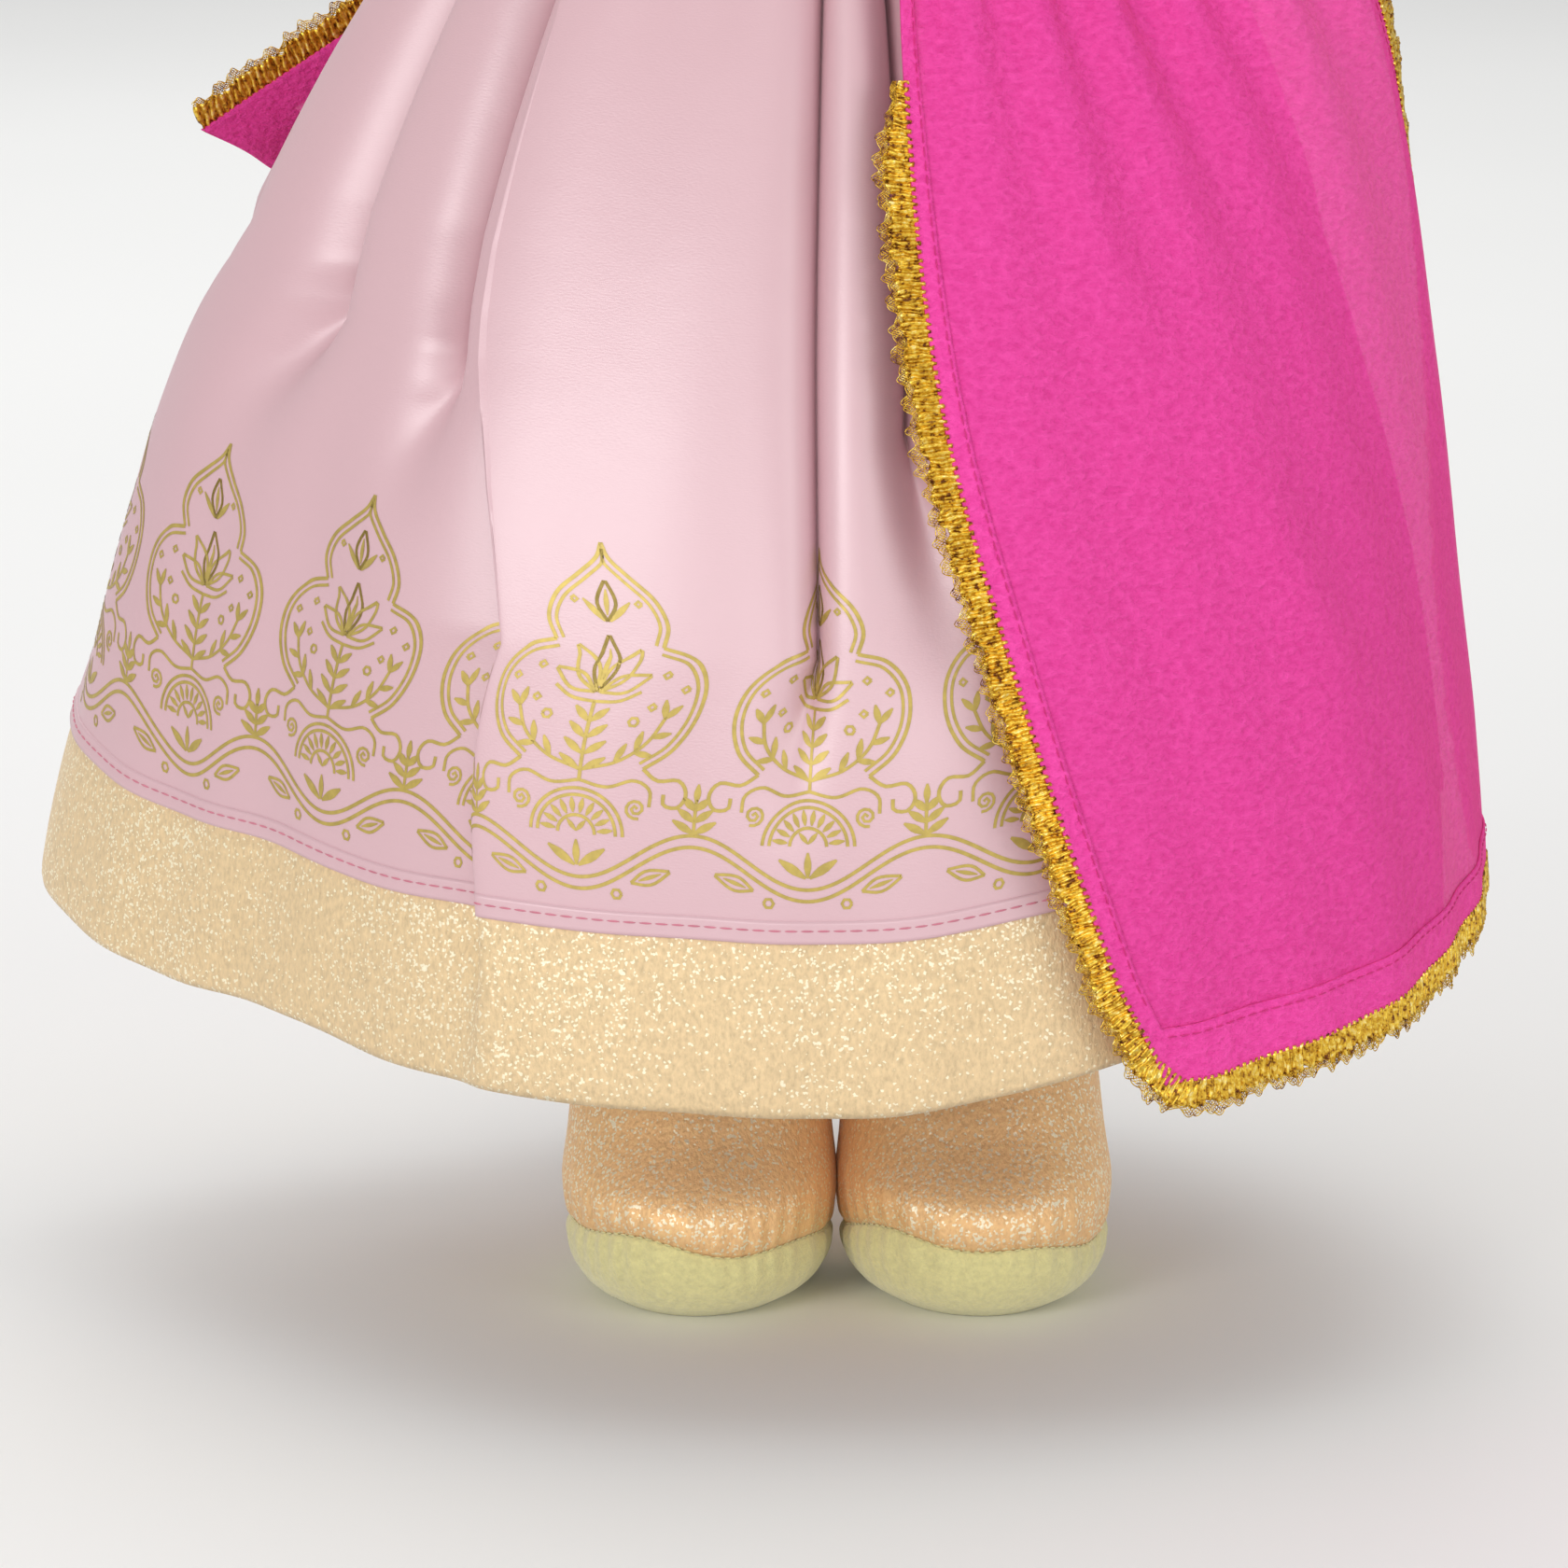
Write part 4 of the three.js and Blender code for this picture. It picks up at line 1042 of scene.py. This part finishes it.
def back_fall(t, s, lift=0.0):
    """The veil's back fall, like the front one."""
    t, s = np.broadcast_arrays(np.asarray(t, float), np.asarray(s, float))
    row = along(BACK_FALL, np.clip(t, 0, 1))
    s_in = np.clip(s, 0, 1)
    pleat = 4.4 * (1 - smooth(t, 0.35, 1.0)) + 0.9
    waves = pleat * (1 + np.cos(2 * np.pi * (6.5 * s_in + 0.4 * t)))
    angle = row[..., 0] + (row[..., 2] - row[..., 0]) * s
    z = row[..., 1] + (row[..., 3] - row[..., 1]) * s_in
    return on_body(angle, z, 3.0 + waves + 15 * np.clip(t, 0, 1) ** 3 * s_in**2 + lift)


def patch(shape, t0, t1, s0, s1, rows, cols, lift=0.0):
    """A grid of points of a fall, between t0 and t1 down it and s0 and s1 across."""
    return shape(np.linspace(t0, t1, rows)[:, None], np.linspace(s0, s1, cols)[None, :], lift)


def veil_piece(name, mat, grids, body, thickness=0.3, stands_for=()):
    b, done = piece(name, mat, body, "magenta_gauze", *stands_for)
    for grid in grids:
        n = grid_normals(grid)
        facing = np.sign((n * unit(grid * [1, 1, 0])).sum(-1).mean())
        cloth(b, grid, thickness, outward=facing)
    return done()


veil_front = veil_piece("veil_front_fall", veil_sheer, [patch(front_fall, 0, 1, 0, 1, 220, 150)], None,
                        stands_for=("veil_front",))
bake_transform(veil_front)
veil_piece("veil_side_hem", veil_thick, [patch(front_fall, 0.2, 1, 0, 0.032, 180, 8, 0.33)], "veil_front", 0.35)
veil_piece("veil_end_hem", veil_thick, [patch(front_fall, 0.968, 1, 0, 1, 12, 150, 0.4)], "veil_front", 0.35)
veil_piece("veil_outer_hem", veil_thick, [patch(front_fall, 0.2, 1, 0.972, 1, 180, 8, 0.33)], "veil_front", 0.35)
hem_thread = make_plain("magenta_thread", (0.62, 0.02, 0.20), 0.6)
b, done = piece("veil_hem_stitching", hem_thread, "veil_front", "magenta_gauze")
run = np.linspace(0.22, 0.955, 1500)
stitches(b, front_fall(run, 0.026, 0.5), 2.2, 1.7, 0.12)
stitches(b, front_fall(run, 0.977, 0.5), 2.2, 1.7, 0.12)
stitches(b, front_fall(0.973, np.linspace(0.03, 0.97, 1200), 0.55), 2.2, 1.7, 0.12)
done()

veil_back = veil_piece("veil_back_fall", veil_sheer, [patch(back_fall, 0, 1, 0, 1, 200, 150)], "torso",
                       stands_for=("veil_back",))
back_hems = [patch(back_fall, 0.05, 1, 0.95, 1, 180, 8, 0.33), patch(back_fall, 0.05, 1, 0, 0.05, 180, 8, 0.33),
             patch(back_fall, 0.96, 1, 0, 1, 10, 150, 0.38)]
veil_piece("veil_back_hems", veil_thick, back_hems, "torso", 0.35)

# The pleats' path over the shoulder: y and z.
PLEATS = ((-28.6, 327.5), (-25, 334), (-17, 339.6), (-4, 341.6), (9, 340.4), (19, 335.5), (25, 328.5))
t = np.linspace(0, 1, 120)[:, None]
s = np.linspace(0, 1, 150)[None, :]
line = along(PLEATS, t[:, 0])
ahead = unit(np.gradient(line, axis=0))
fold = np.abs((s * 6.5) % 1 - 0.5) * 2
lift = 2.2 * fold**0.8 + 0.8 - 1.8 * s**2
b, done = piece("veil_pleats", veil_sheer, "torso", "magenta_gauze", "veil_shoulder_pleats")
grid = np.stack([18.5 + 18.6 * s + 0.5 * np.sin(13 * s * np.pi) + 0 * t, line[:, :1] - lift * ahead[:, 1:],
                 line[:, 1:] + lift * ahead[:, :1]], -1)
cloth(b, grid, 0.4, outward=np.sign(grid_normals(grid)[60, 75, 2]))
veil_pleats = done()


# ---------------------------------------------------------------- lace
def lace(batch, base, out, normal, width=6.2, seed=1, heading=0.74):
    """Crimped metallic ribbon and looped net along a path; out is the way the net grows."""
    arc = arc_length(base)

    def at(x, w, h):
        start, way_out, up = (points_at(x, arc, v) for v in (base, out, normal))
        drop = (0.35 * wobble(x / 1.9, seed) + 0.2 * wobble(x / 0.75, seed + 1)) * w / width
        return start + unit(way_out) * np.asarray(w)[..., None] + unit(up) * (h + drop)[..., None]

    x = np.arange(0, arc[-1], 0.2)
    grow = 0.4 + 0.6 * smooth(x, 0, 12)  # narrower where it starts
    scallop = 0.09 * np.sin(2 * np.pi * x / 3.7 + 1.5 * wobble(x / 7, seed + 2))
    edge = width * (0.86 + scallop + 0.08 * wobble(x / 2.3, seed + 3)) * grow
    uneven = (1 + 0.10 * wobble(x / 1.6, seed + 7) + 0.07 * np.sin(2 * np.pi * x / 3.7)) * grow
    cols = []
    for k, share in enumerate(np.linspace(0, heading, 8)):
        wave = np.sin(2 * np.pi * x / 1.25 + 0.35 * k + wobble(x / 5, seed + 4))
        crimp = 0.36 * np.sign(wave) * np.abs(wave) ** 0.5
        w = -0.5 + share * width * uneven + 0.12 * wobble(x / 0.5 + k, seed + 6)
        cols.append(at(x + 0.22 * wobble(x * 1.3 + k, seed + 5), w, crimp + 0.35))
    grid = np.stack(cols, 1)
    n = grid_normals(grid)
    facing = np.sign((n * normal[len(normal) // 2]).sum(-1).mean()) or 1
    cloth(batch, grid, 0.14, outward=facing)
    start = (heading - 0.16) * width * grow
    for k in range(6):
        swing = np.abs(((x / 2.6 + k / 6) % 1) * 2 - 1)
        w = start + (edge - start) * swing
        tube(batch, at(x, w, 0.35 + 0.18 * np.sin(2 * np.pi * x / 0.9 + k)), 0.07 + 0.02 * (k % 2), 4)
    loops = edge * (0.96 + 0.09 * np.abs(np.sin(np.pi * x / 1.55)))
    tube(batch, at(x, loops, 0.3 + 0 * x), 0.09, 4)
    tube(batch, at(x, edge * 0.76, 0.35 + 0 * x), 0.07, 4)


def edge_frame(shape, t, s, grow):
    """Path, way out and surface normal along a veil's edge; grow is the step (dt, ds) that leads outwards."""
    p = shape(t, s)
    inside = shape(t - grow[0] * 0.02, s - grow[1] * 0.02)
    out = unit(p - inside)
    ahead = unit(np.gradient(p, axis=0))
    out = unit(out - (out * ahead).sum(-1, keepdims=True) * ahead)
    normal = np.cross(ahead, out)
    flip = np.sign((normal * unit(p * [1, 1, 0])).sum(-1))[:, None]
    return p, out, normal * np.where(flip == 0, 1, flip)


def lace_piece(name, runs, body, seed, *cad):
    """Lace along one or more edges of a veil, turning the corner where two runs meet."""
    path, out, normal = (np.concatenate(part) for part in zip(*(edge_frame(*run) for run in runs)))
    if len(runs) > 1:
        turn = np.hanning(91)
        turn /= turn.sum()

        def rounded(v):
            return unit(np.stack([np.convolve(np.pad(c, 45, "edge"), turn, "valid") for c in v.T], -1))

        out, normal = rounded(out), rounded(normal)
    b, done = piece(name, lace_gold, body, "gold_lace", *cad)
    lace(b, path, out, normal, seed=seed)
    return done()


run = np.linspace(0, 1, 900)
inner_run = (front_fall, 0.455 + 0.53 * run, 0 * run, (0, -1.0))
end_run = (front_fall, 0 * run + 1, 0.03 + 0.97 * run, (1.0, 0))
outer_run = (front_fall, 0.3 + 0.7 * run, 0 * run + 1, (0, 1.0))
back_run = (back_fall, 0.1 + 0.9 * run, 0 * run + 1, (0, 1.0))
lace_piece("veil_edge_lace", [inner_run, end_run], "veil_front", 21,
           "veil_front_side_lace", "veil_front_end_lace")
lace_piece("veil_outer_lace", [outer_run], "veil_front", 23, "veil_front_outer_lace")
lace_piece("veil_back_lace", [back_run], "torso", 24, "veil_back_upper_lace")

# ---------------------------------------------------------------- arms and sleeves
SPLAY = math.radians(50)
SHOULDER_SIDE, SHOULDER_Z = 54, 322


def placed(p, side):
    """From hanging at the shoulder to the arm's rest place."""
    c, s = math.cos(SPLAY), math.sin(SPLAY) * -side
    x, y, z = p[..., 0], p[..., 1], p[..., 2]
    return np.stack([c * x + s * z + side * SHOULDER_SIDE, y, -s * x + c * z + SHOULDER_Z], -1)


def mitten(a, z):
    """Fingers drawn with stitched grooves at the end of the hand."""
    grooves = np.zeros_like(z + 0 * a)
    for at in (-0.5, 0.0, 0.5):
        grooves -= 0.9 * hump(np.sin(a), at, 0.09) * (1 - smooth(z, -93, -84))
    return grooves + 0.2 * wobble(z / 7 + a, 15) - 0.4 * side_seam(a) * smooth(z, -90, -70)


def puff(a, z):
    """The sleeve's fullness, gathered at both its ends."""
    gathers = 0.75 * np.sin(26 * a + np.sin(3 * a)) * (np.exp(-(z + 36) / 5) + np.exp(-(15 - z) / 6))
    return gathers + 0.9 * hump(z, -14, 12) + 0.3 * wobble(3 * a + z / 4, 31)


for name, side in SIDES:
    body = name + "_arm"
    b, done = piece(name + "_arm_stuffed", skin, body, "skin_cloth", name + "_arm")
    capped(b, placed(oval_grid(ARM, eased(-101, 13, 90), 96, -0.1, mitten), side))
    thumb = [(0, -3, -74), (0, -7.5, -79), (0, -11, -84), (0, -12.6, -88.5)]
    thickness = 3.4 * np.sqrt(np.clip(1.02 - np.linspace(0, 1, 24) ** 4, 0.02, 1))
    tube(b, placed(curve(thumb, 24), side), thickness, 20)
    done()
    b, done = piece(name + "_sleeve_cloth", satin, body, "satin", name + "_sleeve")
    rings = oval_grid(SLEEVE, np.linspace(-36, 15, 70), 240, -0.2, puff)
    top = rings[-1].mean(0)
    crown = [top + (rings[-1] - top) * k + [0, 0, h]
             for k, h in ((0.8, 0.9), (0.55, 1.6), (0.3, 2.0), (0.03, 2.2))]
    cloth(b, placed(np.concatenate([rings, crown]), side), 0.5, wrap_u=True)
    done()
    b, done = piece(name + "_sleeve_band", gold_cloth, body, "gold_shimmer_cloth", name + "_sleeve_trim")
    cloth(b, placed(oval_grid(SLEEVE, np.linspace(-36, -32, 14), 200, 1.5,
                              lambda a, z: 0.25 * np.cos((z + 34) * 3) - 0.1), side), 0.8, wrap_u=True)
    done()
    for tag, z in (("upper", -64), ("lower", -67.6)):
        b, done = piece(name + "_bangle_" + tag + "_twist", gilt, body, "gold_metal", name + "_bangle_" + tag)
        a = ring_angles(240)
        for phase in (0, math.pi):
            twist = 0.42 * np.cos(24 * a + phase)
            ring = np.stack([(11.6 + twist) * np.cos(a), (11.2 + twist) * np.sin(a),
                             z + 0.42 * np.sin(24 * a + phase)], -1)
            tube(b, placed(ring, side), 0.55, 8, closed=True)
        done()


# ---------------------------------------------------------------- head and face
def face_point(x, z, lift=0.0):
    """A point on the front of the head, lift mm outside it."""
    g = girth(HEAD, np.asarray(z, float))
    x = np.asarray(x, float)
    y = -g[..., 1] * np.sqrt(np.clip(1 - (x / g[..., 0]) ** 2, 0.05, 1))
    n = unit(np.stack([x / g[..., 0] ** 2, y / g[..., 1] ** 2, (np.asarray(z) - 395) / 46**2 + 0 * x], -1))
    return np.stack([x, y, np.asarray(z) + 0 * x], -1) + n * lift


def face_patch(batch, cx, cz, rx, rz, dome, pinch=1.0, lift=0.25, cols=48, rows=9):
    """A padded patch on the face; pinch below 1 draws its two ends to points."""
    a = ring_angles(cols)[None, :]
    k = np.linspace(1, 0.02, rows)[:, None]
    x = cx + rx * k * np.cos(a)
    z = cz + rz * k * np.sin(a) * np.abs(np.sin(a)) ** (1 / pinch - 1)
    height = (lift + dome * np.sqrt(np.clip(1 - k**2, 0, 1)))[..., None]
    flat = face_point(x, z)
    batch.grid(flat + (face_point(x, z, 1) - flat) * height, wrap_u=True)


def face_thread(batch, pts, radius, lift=0.35, count=40):
    p = curve(pts, count)
    tube(batch, face_point(p[:, 0], p[:, 1], lift), radius, 6)


b, done = piece("head_stuffed", skin, "head", "skin_cloth", "head")
capped(b, oval_grid(HEAD, eased(351, 441, 110), 160, -0.1, lambda a, z: 0.15 * wobble(z / 12 + 2 * a, 41)))
done()

# Threads of the left eye: x and z.
UPPER_LID = ((7.6, 390.6), (11, 394.3), (15.5, 395.6), (20, 394.2), (23.6, 391.8))
LOWER_LID = ((7.6, 390.6), (11.5, 387.7), (16, 387), (20, 388.6), (22.6, 391.2))
BROW = ((8.2, 401.2), (13, 403.6), (18.5, 403.4), (23.2, 400.2))
for name, side in SIDES:
    b, done = piece(name + "_eye_white", white_thread, "head", "dark_thread")
    face_patch(b, side * 15, 391, 7.2, 4.3, 0.25, 0.72, 0.3)
    done()
    b, done = piece(name + "_eye_stitched", dark_thread, "head", "dark_thread", name + "_eye")
    face_patch(b, side * 14.6, 391.1, 3.5, 3.9, 0.35, 1, 0.62)
    for line, radius, lift in ((UPPER_LID, 0.62, 0.6), (LOWER_LID, 0.36, 0.5)):
        face_thread(b, np.array(line) * [side, 1], radius, lift)
    for k in range(5):  # lashes
        x = 13.0 + 2.3 * k
        z = 395.4 - 0.10 * (x - 15) ** 2 * 0.5
        face_thread(b, [(side * x, z), (side * (x + 0.7 + 0.25 * k), z + 2.3 - 0.2 * k)], 0.22, 0.6, 8)
    face_thread(b, np.array(BROW) * [side, 1], 0.55, 0.5)
    done()
    b, done = piece(name + "_eye_glint", white_thread, "head", "dark_thread")
    face_patch(b, side * 14.6 + 1.1, 392.6, 0.9, 0.9, 0.15, 1, 1.05, 20, 5)
    done()
b, done = piece("nose_pad", skin, "head", "skin_cloth", "nose")
blob(b, face_point(0, 382, 0.4), (2.7, 2.6, 2.3), 28, 16)
blob(b, face_point(0, 385.4, 0.2), (1.7, 1.5, 4.0), 24, 14)
done()
b, done = piece("bindi_bead", red_thread, "head", "red_thread", "bindi")
blob(b, face_point(0, 403, 0.7), (2.2, 0.9, 2.2), 24, 12)
done()
b, done = piece("lips_stitched", red_thread, "head", "red_thread", "mouth")
x = np.linspace(-7.6, 7.6, 60)
for z0, bend, r in ((370.4, 0.048, 0.75), (371.9, 0.030, 0.62)):
    z = z0 + bend * x * x + (0.35 * np.cos(x * 0.9) if r < 0.7 else 0)
    tube(b, face_point(x, z, 0.45), r * np.clip(1.1 - (x / 8) ** 4, 0.25, 1), 8)
done()

# ---------------------------------------------------------------- hair, bun and flowers
HAIR = np.array([50.9, 48.9, 50.4])
HAIR_AT = np.array([0, 1.5, 397.0])


def on_hair(direction, grow):
    """The point of the hair's ellipsoid, grown a little, that lies in a direction."""
    d = unit(direction)
    return HAIR_AT + d / np.linalg.norm(d / (HAIR + grow), axis=-1, keepdims=True)


b, done = piece("hair_strands", yarn, "head", "dark_yarn")
lies = np.random.default_rng(5)
for sign in (1, -1):
    for k in range(64):
        share = k / 63
        start = math.radians(30 + 118 * share)
        first = np.array([0.02 * sign, -math.cos(start), math.sin(start)])
        side_way = np.array([sign * 1.35, -0.62 + 1.45 * share, -0.12 - 0.42 * (1 - share) + 0.35 * share])
        last = np.array([sign * (0.08 + 0.22 * (1 - share)), 1.0, -0.42 + 0.62 * share])
        u = np.linspace(0, 1, 44)[:, None]
        way = (1 - u) ** 2 * first + 2 * u * (1 - u) * side_way * 1.15 + u**2 * last
        path = on_hair(way, 0.35 + 0.35 * lies.random() + 0.15 * wobble(u * 9, k + 7))
        tube(b, path, 1.0 + 0.12 * wobble(np.linspace(0, 20, 44), k), 6)
done()
b, done = piece("bun_coil", yarn, "head", "dark_yarn", "hair_bun")
a = np.linspace(0, 3.6 * 2 * math.pi, 520)
rad = 15.2 * (1 - a / a[-1]) ** 0.75 + 0.8
dome = 15.5 * np.sqrt(np.clip(1 - (rad / 17.5) ** 2, 0, 1))
core = np.stack([rad * np.cos(a), 55 + dome, 392 + rad * np.sin(a)], -1)
_, n1, n2 = frames(core)
for k in range(4):
    twist = a * 4.2 + k * math.pi / 2
    tube(b, core + 1.35 * (np.cos(twist)[:, None] * n1 + np.sin(twist)[:, None] * n2), 1.35, 8)
blob(b, (0, 58, 392), (17, 9, 16.4), 48, 24)
done()
b, done = piece("jasmine_garland", petal, "head", "white_petals", "bun_garland")
for k in range(34):
    a = 2 * math.pi * k / 34
    way = np.array([math.cos(a), 0.75 if k % 2 else -0.2, math.sin(a)])
    spot = np.array([20.6 * math.cos(a), 60 + (0.9 if k % 2 else -0.9), 392 + 19.6 * math.sin(a)])
    turn = look_along(way)
    blob(b, spot, (1.7, 1.7, 2.5), 14, 10, turn)
    for m in range(4):
        spin = m * math.pi / 2 + k
        petal_way = unit(way * 1.1 + 0.75 * (math.cos(spin) * turn[:, 0] + math.sin(spin) * turn[:, 1]))
        blob(b, spot + petal_way * 1.9, (0.9, 0.55, 1.5), 8, 6, look_along(petal_way))
done()


# ---------------------------------------------------------------- jewellery
def beads(name, path_points, radius, body, cad, count, closed=False):
    b, done = piece(name, gilt, body, "gold_metal", cad)
    p = curve(path_points, count, closed)
    for k, spot in enumerate(p):
        blob(b, spot, (radius,) * 3 if k % 2 else (radius * 0.72,) * 3, 12, 8)
    tube(b, curve(path_points, 160, closed), radius * 0.3, 5, closed)
    done()


a = ring_angles(48)
y = -2 + 16.4 * np.sin(a)
collar = np.stack([16.5 * np.cos(a), y, 345 + 0.28 * y], -1)
beads("necklace_beads", collar, 1.25, "torso", "necklace", 56, True)
a = np.radians(np.linspace(32, 88, 20))
parting = np.stack([0 * a, 1.5 - 50 * np.cos(a) * 1.035, 397 + 51.6 * np.sin(a) * 1.01], -1)
beads("parting_beads", parting, 0.95, "head", "parting_chain", 40)


def medallion(name, centre, axis, radius, body, cad, petals):
    """A round domed disc with a ring of small beads."""
    b, done = piece(name, gilt, body, "gold_metal", cad)
    axis = unit(np.asarray(axis, float))
    turn = look_along(axis)
    rim = [(0.02, -0.7), (radius * 0.9, -0.7), (radius, 0), (radius * 0.88, 0.6), (radius * 0.72, 0.35),
           (radius * 0.4, 0.8), (0.02, 1.0)]
    turned(b, curve(rim, 26), centre, axis, 48)
    for k in range(petals):
        a = 2 * math.pi * k / petals
        way = math.cos(a) * turn[:, 0] + math.sin(a) * turn[:, 1]
        blob(b, np.asarray(centre) + way * radius * 0.72 + axis * 0.6, (radius * 0.16,) * 3, 10, 8)
    blob(b, np.asarray(centre) + axis * 0.9, (radius * 0.3,) * 3, 16, 10)
    return done()


medallion("parting_medallion", (0, -45.2, 419.8), (0, -0.94, 0.34), 4.5, "head", "parting_pendant", 10)
medallion("shoulder_brooch", (28, -28.6, 342.4), (0, -0.74, 0.67), 5.6, "torso", "veil_brooch", 12)
medallion("necklace_drop", (0, -24.2, 331), (0, -1, 0.15), 4.3, "torso", "necklace_pendant", 10)
for name, side in SIDES:
    b, done = piece(name + "_jhumka", gilt, "head", "gold_metal", name + "_earring")
    bell = [(4.4, -9), (5.0, -9), (5.0, -8.2), (4.6, -6.2), (3.2, -3.4), (1.3, -2.3), (1.0, -1),
            (1.3, 0.2), (0.9, 1.4), (0.02, 2)]
    turned(b, curve(bell, 50), (side * 49.5, -13, 374), (0, 0, 1), 40)
    for k in range(14):
        a = 2 * math.pi * k / 14
        blob(b, (side * 49.5 + 4.5 * math.cos(a), -13 + 4.5 * math.sin(a), 364.3), (0.75,) * 3, 10, 8)
    done()

# ---------------------------------------------------------------- materials of the CAD pieces that stay
stay = {"neck_dowel": wood, "hair": yarn}
for name, _ in SIDES:
    stay.update({name + "_shoulder_washer": plastic, name + "_shoulder_disc": plastic,
                 name + "_hip_seam": skin, name + "_foot_pellets": plastic})
for name, mat in stay.items():
    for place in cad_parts[name].material_slots:
        place.material = mat


# ---------------------------------------------------------------- stage
def area_light(name, place, target, size, power):
    light = bpy.data.lights.new(name, "AREA")
    light.shape = "RECTANGLE"
    light.size, light.size_y = size
    light.energy = power
    o = bpy.data.objects.new(name, light)
    bpy.context.scene.collection.objects.link(o)
    o.location = place
    o.visible_camera = False
    o.rotation_euler = (Vector(target) - Vector(place)).to_track_quat("-Z", "Y").to_euler()


def make_stage():
    backdrop, s = shader("stage_white", (0.86, 0.86, 0.85), 0.8)
    n = noise(backdrop, coords(backdrop), 3, 2.0)
    two_tone(backdrop, s, n, (0.85, 0.85, 0.84), (0.87, 0.87, 0.86))
    spread = np.linspace(-9000, 9000, 7)
    x, y = np.meshgrid(spread, spread, indexing="ij")
    b = Batch()
    b.grid(np.stack([x, y, 0 * x], -1), flip=True)
    b.build("floor", backdrop)
    world = bpy.data.worlds.new("studio")
    world.use_nodes = True
    world.node_tree.nodes["Background"].inputs["Color"].default_value = (1, 1, 1, 1)
    world.node_tree.nodes["Background"].inputs["Strength"].default_value = 0.55
    bpy.context.scene.world = world
    area_light("key", (-0.95, -1.38, 0.66), (0, 0, 0.10), (0.7, 0.5), 9)
    area_light("fill", (1.2, -1.1, 0.5), (0, 0, 0.12), (0.8, 0.8), 5)
    area_light("top", (0.0, 0.1, 1.5), (0, 0, 0.1), (1.3, 1.3), 6)
    area_light("rear", (-0.3, 1.3, 1.1), (0, 0.2, 0.1), (1.4, 1.0), 7)
    area_light("low", (0.05, -1.5, 0.40), (0, 0, 0.03), (0.5, 0.2), 1.6)


make_stage()
camera = bpy.data.cameras.new("camera")
camera.lens = 171.2
camera.sensor_width = 36
camera_obj = bpy.data.objects.new("camera", camera)
bpy.context.scene.collection.objects.link(camera_obj)
camera_obj.location = (-0.00859, -1.19555, 0.36866)
camera_obj.rotation_euler = (math.radians(76.6), 0, 0)
bpy.context.scene.camera = camera_obj
bpy.context.scene.view_settings.view_transform = "Standard"
